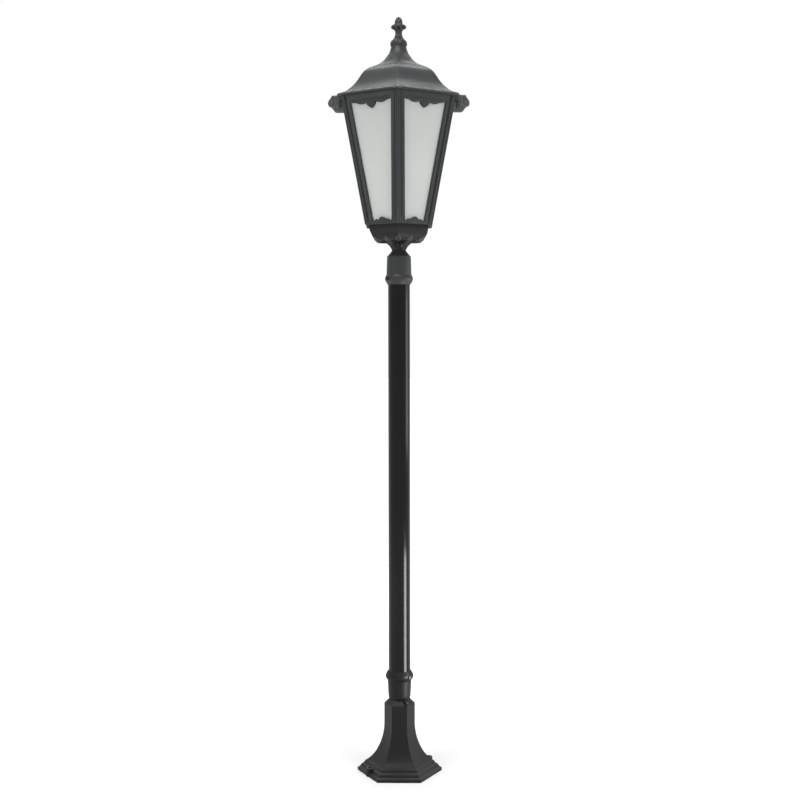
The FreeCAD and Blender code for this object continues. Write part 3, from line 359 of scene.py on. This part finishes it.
def softened(node, width, corner, finish=None, reshape=None):
    """The casting as it leaves the mould: edges sharper than the corner's angle rounded by a width."""
    bm = bmesh.new()
    bm.from_mesh(nodes[node].data)
    bmesh.ops.remove_doubles(bm, verts=bm.verts, dist=WELD)
    bmesh.ops.dissolve_limit(bm, angle_limit=math.radians(0.5), verts=bm.verts, edges=bm.edges)
    round_edges(bm, [edge for edge in bm.edges
                     if len(edge.link_faces) == 2 and edge.calc_face_angle() > math.radians(corner)], width)
    for vert in bm.verts if reshape else ():
        vert.co = reshape(vert.co / MM) * MM
    even_shading(finished(node + "_dressed", bm, slot_of[node], node, finish=finish))


def eased(points, steps):
    """Points on a smooth line through the given ones."""
    line = []
    for number in range(len(points) - 1):
        before, start = points[max(number - 1, 0)], points[number]
        end, after = points[number + 1], points[min(number + 2, len(points) - 1)]
        for step in range(steps):
            t = step / steps
            line.append(tuple(0.5 * (2 * b + (c - a) * t + (2 * a - 5 * b + 4 * c - d) * t * t
                                     + (3 * b - a - 3 * c + d) * t ** 3)
                              for a, b, c, d in zip(before, start, end, after)))
    line.append(tuple(points[-1]))
    return line


def turned(bm, points, steps, base=0.0, closed=False):
    """Turn a line of radius and height, in millimetres, about the upright axis."""
    verts = [bm.verts.new((radius * MM, 0, (base + height) * MM)) for radius, height in points]
    edges = [bm.edges.new(pair) for pair in zip(verts, verts[1:])]
    if closed:
        edges.append(bm.edges.new((verts[-1], verts[0])))
    bmesh.ops.spin(bm, geom=verts + edges, cent=(0, 0, 0), axis=(0, 0, 1), angle=2 * math.pi, steps=steps,
                   use_merge=True)
    bmesh.ops.remove_doubles(bm, verts=bm.verts, dist=0.001 * MM)
    bmesh.ops.recalc_face_normals(bm, faces=bm.faces)


def threads(radius, depth, start, end, pitch):
    """A line up the flank of a screw thread."""
    turns = max(1, round((end - start) / pitch))
    step = (end - start) / turns
    line = []
    for number in range(turns):
        line += [(radius - depth, start + step * number), (radius, start + step * (number + 0.5))]
    return line + [(radius - depth, end)]


def share_along(table, t, smooth=True):
    """A value read from a short table of (place, value) with smooth joins."""
    for (low, first), (high, second) in zip(table, table[1:]):
        if t <= high:
            part = (t - low) / (high - low)
            if smooth:
                part = part * part * (3 - 2 * part)
            return first + (second - first) * part
    return table[-1][1]


# Outlines of leaves: half width as a share of the widest, along the length
POINTED = [(0, 0.42), (0.16, 0.84), (0.36, 1.0), (0.62, 0.80), (0.82, 0.46), (0.94, 0.20), (1, 0.03)]
BROAD = [(0, 0.94), (0.3, 0.86), (0.6, 0.80), (0.82, 0.70), (0.95, 0.42), (1, 0.1)]
ROUNDED = [(0, 0.86), (0.35, 1.0), (0.62, 0.92), (0.82, 0.68), (0.94, 0.36), (1, 0.06)]


def leaf_side(u, t, width, lobes, shape):
    """How far a point lies from the vein: its share of the width, notched between the lobes."""
    part = (t * lobes) % 1.0
    notched = lobes > 1 and 0.05 < t < 0.9 and abs(u) > 0.4
    notch = 1 - 0.30 * max(0.0, 1 - part / 0.4) ** 2 if notched else 1.0
    return u * width / 2 * share_along(shape, t) * notch


def leaf_lift(u, t, relief, lobes):
    """How far a point of the front stands up: crowned, sunk at the vein, ribbed, thin at its edge."""
    if abs(u) > 0.99 or t < 0.001 or t > 0.999:
        return relief * 0.12
    vein = math.exp(-(u / 0.13) ** 2)
    rib = math.cos(2 * math.pi * (t * lobes - abs(u) * 0.6 + 0.15)) * abs(u) * (1 - abs(u)) * 2
    crown = (1 - u * u) * min(1.0, 0.35 + t * 2)
    lift = relief * (0.38 + 0.55 * crown - 0.42 * vein + 0.30 * rib)
    return lift * (1 - 0.5 * max(0.0, (t - 0.85) / 0.15))


def place_on_line(points, runs, along):
    """The place at a length along a line, and the line's direction there."""
    number = 0
    while number < len(runs) - 1 and along > runs[number]:
        along -= runs[number]
        number += 1
    heading = (points[number + 1] - points[number]).normalized()
    return points[number] + heading * along, heading


def leaf(bm, line, width, relief, lobes=3, shape=POINTED, out=None, across=None, columns=10, rows=20,
         sink=0.5, fold=0.0):
    """A cast leaf laid along a line, its back sunk in what carries it.

    It faces out, or it is square to the line and to across. A fold bends its halves back, in degrees.
    """
    back = bmesh.ops.create_grid(bm, x_segments=columns, y_segments=rows, size=1.0)["verts"]
    faces = list(dict.fromkeys(face for vert in back for face in vert.link_faces))
    made = bmesh.ops.extrude_face_region(bm, geom=faces, use_keep_orig=True)["geom"]
    front = [item for item in made if isinstance(item, bmesh.types.BMVert)]
    bmesh.ops.reverse_faces(bm, faces=faces)
    points = [Vector(point) for point in line]
    runs = [(b - a).length for a, b in zip(points, points[1:])]
    length = sum(runs)
    for number, vert in enumerate(front + back):
        u, t = vert.co.x, (vert.co.y + 1) / 2
        side = leaf_side(u, t, width, lobes, shape)
        lift = leaf_lift(u, t, relief, lobes) if number < len(front) else -sink
        along = t * length + 0.10 * width * u * u * (1 - t)
        centre, heading = place_on_line(points, runs, min(max(along, 0.0), length))
        if out is not None:
            face = Vector(out).normalized()
            sideways = heading.cross(face)
        else:
            sideways = Vector(across).normalized()
            face = sideways.cross(heading)
        if fold:
            turn = Matrix.Rotation(math.radians(fold if side > 0 else -fold), 3, heading)
            sideways, face = turn @ sideways, turn @ face
        vert.co = (centre + sideways * side + face * lift) * MM


def face_frame(number, height):
    """Where a lantern side's middle lies at a height, with its directions across and out."""
    angle = 2 * math.pi * number / SIDES
    out, across = toward(angle), beside(angle)
    slope = (FRAME_HEAD - FRAME_FOOT) * COS30 / FRAME_HEIGHT
    reach = FRAME_FOOT * COS30 + slope * height
    up = (out * slope + lifted(1)).normalized()
    return out * reach + lifted(FRAME_BASE + height), across, across.cross(up)


def on_side(number, along, height):
    """A place on a lantern side, along it from its middle and up from the frame's base."""
    middle, across, _ = face_frame(number, height)
    return middle + across * along


# Castings with their edges rounded

def under_skin(point):
    """Keep the roof casting's own outside just below the smooth skin laid over it."""
    height = point.z - ROOF_BASE
    if height < RIM_HEIGHT:
        return point
    reach = max(abs(point.x * math.cos(turn) + point.y * math.sin(turn))
                for turn in (0, math.pi / 3, 2 * math.pi / 3)) / COS30
    gap_at_rim, gap_above = 1.4, 3.2
    limit = share_along(ROOF_LINE, height, smooth=False) - (gap_above if height > 12 else gap_at_rim)
    if height > NECK_START:
        limit *= 0.93
    if reach > limit:
        point = Vector((point.x * limit / reach, point.y * limit / reach, point.z))
    return point


def lower_crest(point):
    """The side scrolls' flat top, a little lower than the solid's."""
    shoulder = ROOF_BASE + 8
    if point.z > shoulder:
        point = Vector((point.x, point.y, shoulder + (point.z - shoulder) * 0.66))
    return point


def dress_castings():
    """Each casting and pressed part with the width of its rounded edges and the angle they start at."""
    # The side scrolls take the lighter ornament paint, a painted highlight; the bowl takes the post paint.
    finishes = {"bowl_casting": "post_paint", "side_console_right": "ornament_highlight_paint",
                "side_console_left": "ornament_highlight_paint"}
    shaping = {"roof_casting": under_skin, "side_console_right": lower_crest, "side_console_left": lower_crest}
    for node, width, corner in (("foot_casting", 0.9, 18), ("lower_collar", 0.4, 36),
                                ("upper_collar", 0.4, 36), ("bowl_casting", 0.7, 24),
                                ("lantern_frame", 0.6, 24), ("roof_casting", 0.8, 15),
                                ("side_console_right", 0.8, 26), ("side_console_left", 0.8, 26),
                                ("pane_clips", 0.2, 30), ("bridge_bar", 0.4, 30), ("lamp_strip", 0.4, 30),
                                ("nipple_nuts", 0.7, 35), ("stud_nuts", 0.6, 35),
                                ("terminal_block", 0.7, 35)):
        softened(node, width, corner, finish=finishes.get(node), reshape=shaping.get(node))


def dress_pole():
    """The pole's tube, its ends broken and its skin drawn smooth."""
    bm = bmesh.new()
    inner, outer, broken = 27.5, 30, 0.4
    length = CAP_BASE - COLLAR_BASE - COLLAR_HEIGHT + SOCKET_DEPTH * 2
    turned(bm, [(inner, broken), (inner + broken, 0), (outer - broken, 0), (outer, broken),
                (outer, length - broken), (outer - broken, length), (inner + broken, length),
                (inner, length - broken)], 96, COLLAR_BASE + COLLAR_HEIGHT - SOCKET_DEPTH, closed=True)
    even_shading(finished("pole_dressed", bm, "pole_paint", "pole_tube"))


# Ornament cast on the lantern head

def dress_roof():
    """The roof's weather side in one sweep: six ogee panels that run together into the round neck."""
    bm = bmesh.new()
    sweep = eased([(reach, height) for height, reach in ROOF_LINE], 5)
    edge = [(reach * MEAN_REACH, height) for reach, height in sweep]
    turned(bm, [(172.0, 3.4), (178.0, 0.5)] + edge + [(20.0, 153.3), (20.0, 150.0)], 120)
    rounding = [(0, 0.0), (NECK_START, 0.0), (NECK_END, 1.0), (200, 1.0)]
    for vert in bm.verts:
        turn = (math.atan2(vert.co.y, vert.co.x) + math.pi / 6) % (math.pi / 3) - math.pi / 6
        flat = COS30 / math.cos(turn)
        round_share = share_along(rounding, vert.co.z / MM)
        scale = (1 - round_share) * flat / MEAN_REACH + round_share
        vert.co.x *= scale
        vert.co.y *= scale
    hips = []
    for line in bm.edges:
        turns = [(math.degrees(math.atan2(vert.co.y, vert.co.x)) + 0.01) % 60 for vert in line.verts]
        if all(abs(turn - 30) < 0.1 and vert.co.z < HIP_END * MM for turn, vert in zip(turns, line.verts)):
            hips.append(line)
    round_edges(bm, hips, 1.3)
    bmesh.ops.recalc_face_normals(bm, faces=bm.faces)
    bmesh.ops.translate(bm, vec=(0, 0, ROOF_BASE * MM), verts=bm.verts)
    even_shading(finished("roof_skin", bm, "lantern_paint"))


def dress_rim():
    """A chain of small round leaves on each side of the roof's rim, and a leaf folded over each corner."""
    bm = bmesh.new()
    spacing = 31.2
    for number in range(SIDES):
        angle = 2 * math.pi * number / SIDES
        out, across = toward(angle), beside(angle)
        rise = eased([(3.6, 3.2), (2.0, 6.4), (-4.0, 9.0), (-13.4, 12.6)], 4)
        for place in range(-2, 3):
            foot = out * ROOF_CORNER * COS30 + across * spacing * place + lifted(ROOF_BASE)
            wide, crown, lobes = (24.0, 1.7, 2) if place % 2 else (29.0, 2.3, 3)
            leaf(bm, [foot + out * x + lifted(z) for x, z in rise], wide, crown, lobes, ROUNDED,
                 out=out + lifted(0.9), columns=14, rows=14, sink=2.0)
        out = toward(angle + math.pi / SIDES)
        rise = eased([(4.2, 2.0), (1.8, 6.2), (-5.0, 8.6), (-16.0, 12.6)], 4)
        leaf(bm, [out * (ROOF_CORNER + x) + lifted(ROOF_BASE + z) for x, z in rise], 27.0, 1.7, 3, ROUNDED,
             out=out + lifted(0.8), columns=14, rows=16, fold=26, sink=3.0)
    # The rim leaves take the lighter ornament paint, a painted highlight.
    finished("rim_leaves", bm, "lantern_paint", finish="ornament_highlight_paint")


def dress_posts():
    """Three fine reeds down each corner post: a bead on the edge and a flat band on either side."""
    bm = bmesh.new()
    half = [(8.7, -0.5), (8.3, 0.9), (7.7, 1.3), (3.7, 1.3), (3.1, 1.0), (2.9, -0.4), (1.6, -0.4), (1.4, 0.8)]
    shape = half + [(0.0, 1.7)] + [(-across, lift) for across, lift in reversed(half)]
    rib, bottom, top = 2.0, 2.0, 338.0
    for number in range(SIDES):
        angle = math.pi / SIDES + 2 * math.pi * number / SIDES
        edges = []
        for height in (bottom, top):
            reach = FRAME_FOOT + (FRAME_HEAD - FRAME_FOOT) * height / FRAME_HEIGHT + rib / COS30
            ridge = toward(angle) * reach + lifted(FRAME_BASE + height)
            ring = []
            for across, lift in shape:
                turn = angle + math.radians(30 if across >= 0 else -30)
                out = toward(turn) if across else toward(angle)
                ring.append(bm.verts.new((ridge + beside(turn) * across + out * lift) * MM))
            edges.append([bm.edges.new(pair) for pair in zip(ring, ring[1:] + ring[:1])])
        bmesh.ops.bridge_loops(bm, edges=edges[0] + edges[1])
        for ring in edges:
            bmesh.ops.contextual_create(bm, geom=ring)
    bmesh.ops.recalc_face_normals(bm, faces=bm.faces)
    round_edges(bm, [edge for edge in bm.edges if edge.calc_face_angle(0) > math.radians(18)], 0.28)
    even_shading(finished("post_reeds", bm, "lantern_paint"))


def dress_fringes():
    """Leaves cast on the rails of each lantern side: a hanging spray above and a palmette below."""
    bm = bmesh.new()
    # The paired leaves: line, width, relief, lobes, rows
    sprays = (([(7, 327), (20, 322.5), (33, 321), (46, 325)], 13.0, 1.7, 4, 22),
              ([(44, 328), (52, 324.6), (60, 325.5)], 8.5, 1.3, 3, 14),
              ([(4.5, 4.0), (11, 8.0), (17, 9.6), (24, 6.4)], 7.0, 1.3, 3, 16))
    for number in range(SIDES):
        out = face_frame(number, 0)[2]
        leaf(bm, [on_side(number, 0, height) for height in (329.5, 316, 303.4)], 20.5, 2.2, 3, out=out,
             columns=12, rows=20)
        leaf(bm, [on_side(number, 0, height) for height in (1.6, 18.9)], 15.5, 1.8, 2, out=out, rows=14)
        for hand in (-1, 1):
            for points, width, relief, lobes, rows in sprays:
                line = [on_side(number, x * hand, z) for x, z in eased(points, 4)]
                leaf(bm, line, width, relief, lobes, out=out, columns=8, rows=rows)
    finished("fringe_leaves", bm, "lantern_paint")


def dress_bowl():
    """Twelve leaves that rise from the funnel on to the bowl's lower edge."""
    bm = bmesh.new()
    rise = eased([(54.0, 23.4), (65.0, 24.2), (71.8, 28.4), (77.6, 33.4), (81.4, 38.0)], 4)
    for number in range(SIDES * 2):
        angle = math.pi * number / SIDES
        on_corner = number % 2
        share = 1.0 if on_corner else COS30
        leaf(bm, [toward(angle) * reach * share + lifted(BOWL_BASE + height) for reach, height in rise],
             19.0, 2.0, 3, across=beside(angle), columns=12, rows=22, fold=16 if on_corner else 0)
    finished("bowl_leaves", bm, "lantern_paint")


def finial_carving(radius, height, turn):
    """A point's scale and its drop in millimetres: gadroons, flutes, drooping petals, the bud's leaves."""
    scale, drop = 1.0, 0.0
    if height < 17:
        strength = min(1.0, height / 2.5) * min(1.0, (17 - height) / 6)
        scale -= 0.085 * strength * (1 - abs(math.cos(turn * 5))) ** 1.2
    elif 24 < height < 45:
        strength = min(1.0, (height - 24) / 4, (45 - height) / 4)
        scale -= 0.16 * strength * (1 - abs(math.cos(turn * 4))) ** 0.8
    if 44 < height < 62 and radius > 9:
        strength = min(1.0, (height - 44) / 5, (62 - height) / 2)
        petal = abs(math.cos(turn * 2))
        scale -= 0.36 * strength * (1 - petal) ** 1.15
        scale -= 0.035 * strength * math.exp(-((1 - petal) / 0.012) ** 2)
        drop = 2.4 * strength * petal * max(0.0, radius - 13) / 8
    if height > 61:
        strength = min(1.0, (height - 61) / 3, (81.3 - height) / 4)
        bract = abs(math.sin(turn * 2)) if height < 72 else abs(math.cos(turn * 2))
        scale -= 0.17 * strength * (1 - bract) ** 1.3
        scale -= 0.03 * strength * math.exp(-((1 - bract) / 0.015) ** 2)
    return scale, drop


def dress_finial():
    """The finial: a gadrooned foot, a fluted stem, four drooping petals and a bud of leaves."""
    bm = bmesh.new()
    outside = eased([(21.0, 0), (22.9, 2.6), (23.2, 6.5), (21.8, 12.6), (16.8, 18.2), (13.4, 20.6),
                     (13.6, 22.8), (11.6, 26.0), (9.3, 34.0), (10.2, 41.5), (14.0, 46.4), (19.2, 50.6),
                     (21.1, 54.4), (19.2, 58.4), (13.0, 61.0), (11.6, 63.0), (11.7, 67.0), (10.0, 72.0),
                     (6.2, 77.4), (2.2, 80.6), (0.0, 81.2)], 7)
    bore = [(0, 28.0), (5.15, 26.0), (5.15, 0)]
    turned(bm, bore + outside, 120)
    for vert in bm.verts:
        radius, height = math.hypot(vert.co.x, vert.co.y) / MM, vert.co.z / MM
        in_bore = radius < 6 and height < 30
        if in_bore:
            continue
        scale, drop = finial_carving(radius, height, math.atan2(vert.co.y, vert.co.x))
        vert.co.x *= scale
        vert.co.y *= scale
        vert.co.z -= drop * MM
    bmesh.ops.translate(bm, vec=(0, 0, FINIAL_BASE * MM), verts=bm.verts)
    finished("finial_dressed", bm, "lantern_paint", "finial")


def dress_consoles():
    """Acanthus on both side scrolls: leaves over the back and the tail, and three on each cheek."""
    for node, hand in (("side_console_right", 1), ("side_console_left", -1)):
        bm = bmesh.new()

        def at(points, y):
            return [Vector((x * hand, y, ROOF_BASE + z)) for x, z in eased(points, 5)]

        back = [(148, 18.4), (160, 18.5), (173, 18.2), (182.6, 17.6), (184.6, 13.8), (187.2, 9.0), (191.6, 4.6)]
        tail = [(154, -25.5), (168, -25.6), (174.5, -24.6), (179.6, -18.4), (185.4, -12.6)]
        tongue = [(168.6, 17.8), (167.6, 11.0), (166.6, 1.0), (164.6, -9.0), (160.0, -18.0)]
        outer = [(180.0, 17.4), (182.0, 11.4), (186.4, 5.4), (189.6, -1.6)]
        lower = [(160.0, -15.5), (167, -18.0), (175, -15.6), (182, -10.0)]
        leaf(bm, at(back, 0), 25.0, 0.8, 2, across=(0, -hand, 0), columns=12, rows=48)
        leaf(bm, at(tail, 0), 22.0, 1.4, 4, across=(0, hand, 0), columns=12, rows=36)
        for cheek in (-1, 1):
            leaf(bm, at(tongue, 12.8 * cheek), 21.0, 2.0, 1, BROAD, out=(0, cheek, 0.42), columns=14,
                 rows=30, sink=6.0)
            leaf(bm, at(outer, 11.2 * cheek), 9.5, 2.0, 1, out=(0, cheek, 0.42), columns=12, rows=22,
                 sink=6.0)
            leaf(bm, at(lower, 12.0 * cheek), 10.0, 1.5, 3, out=(0, cheek, -0.2), columns=12, rows=26,
                 sink=6.0)
        # The scroll leaves take the lighter ornament paint, a painted highlight.
        finished(node + "_leaves", bm, "lantern_paint", finish="ornament_highlight_paint")


# Screws, threads, lamp, connector

def loose_bodies(node):
    """The points of each separate solid in a node, in millimetres, in the mesh's own order."""
    bm = bmesh.new()
    bm.from_mesh(nodes[node].data)
    bmesh.ops.remove_doubles(bm, verts=bm.verts, dist=WELD)
    met, bodies = set(), []
    for first in bm.verts:
        if first in met:
            continue
        met.add(first)
        reached = [first]
        for vert in reached:
            for link in vert.link_edges:
                other = link.other_vert(vert)
                if other not in met:
                    met.add(other)
                    reached.append(other)
        bodies.append([vert.co / MM for vert in reached])
    bm.free()
    return bodies


def measured_screw(points, upright):
    """A screw's centre, the direction of its head, where its end, seat and top lie, and both radii."""
    centre = sum(points, Vector()) / len(points)
    axis = lifted(1) if upright else Vector((centre.x, centre.y, 0)).normalized()
    reach = [((point - centre).dot(axis), (point - centre).cross(axis).length) for point in points]
    head = max(radius for _, radius in reach)
    wide = [along for along, radius in reach if radius > head * 0.98]
    if max(wide) <= max(reach)[0] - 0.01:
        axis, wide = -axis, [-along for along in wide]
        reach = [(-along, radius) for along, radius in reach]
    low, high = min(reach)[0], max(reach)[0]
    shank = max(radius for along, radius in reach if along < low + 0.01)
    return centre, axis, low, min(wide), high, shank, head


def slotted_screw(shank, length, head, head_height):
    """One screw along +Z, the seat of its head at the origin: threads, domed head, driver slot."""
    bm = bmesh.new()
    pitch, slot_half, slot_floor = 0.8, head * 0.13, head_height * 0.42
    line = [(0, -length), (shank * 0.6, -length)] + threads(shank, shank * 0.09, 0.5 - length, -0.4, pitch)
    dome = [(0.93, 0), (1, 0.15), (1, 0.45), (0.94, 0.72), (0.74, 0.92), (0.4, 0.99), (0, 1)]
    turned(bm, line + [(shank, 0)] + [(head * r, head_height * h) for r, h in dome], 40)
    for edge in (-slot_half, slot_half):
        bmesh.ops.bisect_plane(bm, geom=bm.verts[:] + bm.edges[:] + bm.faces[:], plane_co=(edge * MM, 0, 0),
                               plane_no=(1, 0, 0))
    crown = [face for face in bm.faces if abs(face.calc_center_median().x) < slot_half * MM
             and face.calc_center_median().z > head_height * 0.70 * MM and face.normal.z > 0.3]
    for item in bmesh.ops.extrude_face_region(bm, geom=crown)["geom"]:
        if isinstance(item, bmesh.types.BMVert):
            item.co.z = slot_floor * MM
    return bm


def kept_mesh(name, bm):
    """A bmesh put by as a mesh, to be set in place many times."""
    mesh = bpy.data.meshes.new(name)
    bm.to_mesh(mesh)
    bm.free()
    return mesh


def set_copy(bm, mesh, place, turn):
    """Add a mesh to a bmesh, turned by a matrix and moved to a place in millimetres."""
    start = len(bm.verts)
    bm.from_mesh(mesh)
    bm.verts.ensure_lookup_table()
    bmesh.ops.transform(bm, matrix=Matrix.Translation(place * MM) @ turn, verts=bm.verts[start:])


def dress_screws(node, upright, slot=None):
    """Every screw of a node, made once and set where the part has them, each slot at its own angle."""
    bm, one = bmesh.new(), None
    for number, points in enumerate(loose_bodies(node)):
        centre, axis, low, seat, high, shank, head = measured_screw(points, upright)
        if one is None:
            one = kept_mesh(node + "_one", slotted_screw(shank, seat - low, head, high - seat))
        turn = axis.to_track_quat("Z", "Y").to_matrix().to_4x4() @ Matrix.Rotation(0.6 + 1.9 * number, 4, "Z")
        set_copy(bm, one, centre + axis * seat, turn)
    bpy.data.meshes.remove(one)
    even_shading(finished(node + "_dressed", bm, slot or slot_of[node], node))


def dress_threads():
    """The threaded nipple and the long stud that hold the lantern together."""
    bm = bmesh.new()
    bore, half = 5.5, 19.0
    flank = threads(8.0, 0.7, -half, half, 1.5)
    turned(bm, [(bore, -half)] + flank + [(bore, half)], 40, BOWL_BASE, closed=True)
    finished("neck_nipple_dressed", bm, slot_of["neck_nipple"], "neck_nipple")
    bm = bmesh.new()
    low, high = (corner.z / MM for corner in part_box("roof_stud"))
    turned(bm, [(0, low)] + threads(5.0, 0.55, low, high, 1.5) + [(0, high)], 32)
    finished("roof_stud_dressed", bm, slot_of["roof_stud"], "roof_stud")


def dress_lamp():
    """The lamp: a glass globe on a screw cap."""
    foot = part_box("bulb")[0].z / MM
    globe = [(13.4, 27.6), (15.4, 30.0), (18.2, 37.0), (23.0, 51.0), (27.2, 65.4), (29.4, 72.4),
             (30.0, 78.0), (28.6, 87.0), (23.0, 97.3), (14.0, 104.6), (0, 108.0)]
    bm = bmesh.new()
    turned(bm, [(0, 27.0), (12.6, 27.0)] + eased(globe, 5), 72, foot)
    finished("bulb_globe", bm, "lamp_glass", "bulb")
    bm = bmesh.new()
    cap = [(0, 0), (3.6, 0.2), (5.0, 1.6), (9.0, 3.0), (12.2, 5.2)] + threads(13.0, 0.9, 6.0, 23.0, 3.4)
    turned(bm, cap + [(13.0, 24.5), (13.0, 27.2), (12.4, 27.6), (0, 27.6)], 64, foot)
    finished("bulb_cap", bm, "zinc_steel")


def dress_lampholder():
    """The glazed holder with two grooves round it."""
    bm = bmesh.new()
    cup = [(5.5, 0), (17.4, 0), (18.0, 0.6), (18.0, 7.6), (18.8, 9.2), (21.2, 12.6), (22.0, 14.6),
           (22.0, 21.0), (21.3, 21.7), (21.3, 23.1), (22.0, 23.8), (22.0, 40.0), (21.3, 40.7),
           (21.3, 42.1), (22.0, 42.8), (22.0, 48.6), (21.3, 51.0), (20.0, 52.0), (14.4, 52.0),
           (13.5, 51.0), (13.5, 24.0), (5.5, 24.0)]
    turned(bm, cup, 64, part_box("lampholder")[0].z / MM, closed=True)
    finished("lampholder_dressed", bm, slot_of["lampholder"], "lampholder")


def dress_terminals():
    """The connector's six clamping screws, in two rows."""
    bm = bmesh.new()
    low, high = (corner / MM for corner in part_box("terminal_block"))
    one = kept_mesh("clamp_one", slotted_screw(1.6, 3.0, 2.6, 1.0))
    for row in (0.27, 0.73):
        for y in (-10, 0, 10):
            spot = Vector((low.x + (high.x - low.x) * row, y, high.z - 0.1))
            set_copy(bm, one, spot, Matrix.Rotation(y + row, 4, "Z"))
    bpy.data.meshes.remove(one)
    finished("terminal_screws", bm, "brass")


dress_castings()
dress_pole()
dress_roof()
dress_rim()
dress_posts()
dress_fringes()
dress_bowl()
dress_finial()
dress_consoles()
for node, upright in (("lower_collar_screws", False), ("frame_screws", True), ("clip_screws", False),
                      ("bridge_screws", True), ("console_screws", False), ("strip_screws", True)):
    dress_screws(node, upright)
for node in ("column_screw", "upper_collar_screws"):
    dress_screws(node, False, "post_paint")
dress_threads()
dress_lamp()
dress_lampholder()
dress_terminals()


# Studio: floor, world, lamps, camera

def make_floor():
    """A white floor that shows only the lantern's shadow, and is clear from below."""
    bm = bmesh.new()
    bmesh.ops.create_grid(bm, x_segments=1, y_segments=1, size=40.0)
    mesh = kept_mesh("floor", bm)
    floor = bpy.data.objects.new("floor", mesh)
    bpy.context.collection.objects.link(floor)
    material, tree, shader = new_material("floor")
    shader.inputs["Base Color"].default_value = (0.8, 0.8, 0.8, 1)
    shader.inputs["Roughness"].default_value = 0.9
    shader.inputs["Specular IOR Level"].default_value = 0.0
    away = add(tree, "ShaderNodeVectorMath", operation="LENGTH")
    tree.links.new(object_place(tree), away.inputs[0])
    near, far = 0.15, 2.4
    glow = spread(tree, away.outputs["Value"], near, far, 0.12, 0.85)
    shader.inputs["Emission Color"].default_value = (1, 1, 1, 1)
    tree.links.new(calculate(tree, "MULTIPLY", seen_rays(tree), glow), shader.inputs["Emission Strength"])
    clear = add(tree, "ShaderNodeBsdfTransparent")
    either = add(tree, "ShaderNodeMixShader")
    tree.links.new(add(tree, "ShaderNodeNewGeometry").outputs["Backfacing"], either.inputs[0])
    tree.links.new(shader.outputs[0], either.inputs[1])
    tree.links.new(clear.outputs[0], either.inputs[2])
    tree.links.new(either.outputs[0], tree.nodes["Material Output"].inputs["Surface"])
    mesh.materials.append(material)


def make_world(ambient):
    """Even grey light on the object, and white where the background is seen or mirrored."""
    world = bpy.data.worlds.new("studio")
    bpy.context.scene.world = world
    world.use_nodes = True
    tree = world.node_tree
    background = tree.nodes["Background"]
    tree.links.new(spread(tree, seen_rays(tree), 0.0, 1.0, ambient, 1.0), background.inputs["Strength"])
    background.inputs["Color"].default_value = (1, 1, 1, 1)


def make_lamp(name, place, target, size, power, diffuse=True, glossy=True):
    """An area lamp aimed at a target; one that isn't glossy lights the paint without showing in it."""
    data = bpy.data.lights.new(name, "AREA")
    data.shape = "RECTANGLE"
    data.size, data.size_y = size
    data.energy = power
    lamp = bpy.data.objects.new(name, data)
    lamp.location = place
    lamp.rotation_euler = (Vector(target) - Vector(place)).to_track_quat("-Z", "Y").to_euler()
    lamp.visible_diffuse, lamp.visible_glossy, lamp.visible_camera = diffuse, glossy, False
    bpy.context.collection.objects.link(lamp)


def make_camera():
    """A camera in front of the lantern, tipped a little down and turned a hair about its own axis."""
    distance, height = 3.2925, 1.1806
    azimuth, pitch, roll = math.radians(1.0), math.radians(1.141), math.radians(-0.08)
    data = bpy.data.cameras.new("camera")
    data.lens, data.sensor_width = 53.546, 36.0
    data.shift_x, data.shift_y = 0.00112, -0.038
    camera = bpy.data.objects.new("camera", data)
    camera.location = (distance * math.sin(azimuth), -distance * math.cos(azimuth), height)
    aimed = Matrix.Rotation(azimuth, 3, "Z") @ Matrix.Rotation(math.pi / 2 - pitch, 3, "X")
    camera.rotation_euler = (aimed @ Matrix.Rotation(roll, 3, "Z")).to_euler()
    bpy.context.collection.objects.link(camera)
    bpy.context.scene.camera = camera


make_floor()
make_world(0.45)
make_lamp("key", (2.0, -2.0, 2.0), (0, 0, 1.4), (1.2, 2.4), 36, glossy=False)
make_lamp("fill", (-2.0, -2.0, 1.8), (0, 0, 1.4), (1.2, 2.4), 36, glossy=False)
make_lamp("ceiling", (0.0, 0.6, 4.4), (0, 0, 1.2), (2.4, 2.4), 110, glossy=False)
make_lamp("back_panel", (0.0, 1.85, 4.1), (0, 0, 1.9), (1.5, 1.1), 80, diffuse=False)
make_lamp("front_panel", (-0.35, -0.95, 3.15), (0, 0, 1.9), (1.0, 0.7), 26, diffuse=False)
make_lamp("pole_glint", (0.55, -0.26, 0.29), (0, 0, 0.29), (0.28, 0.44), 11, diffuse=False)
make_lamp("side_window", (1.15, 0.0, 1.10), (0, 0, 1.10), (0.55, 0.62), 6, diffuse=False)
make_camera()
bpy.context.scene.view_settings.view_transform = "Standard"
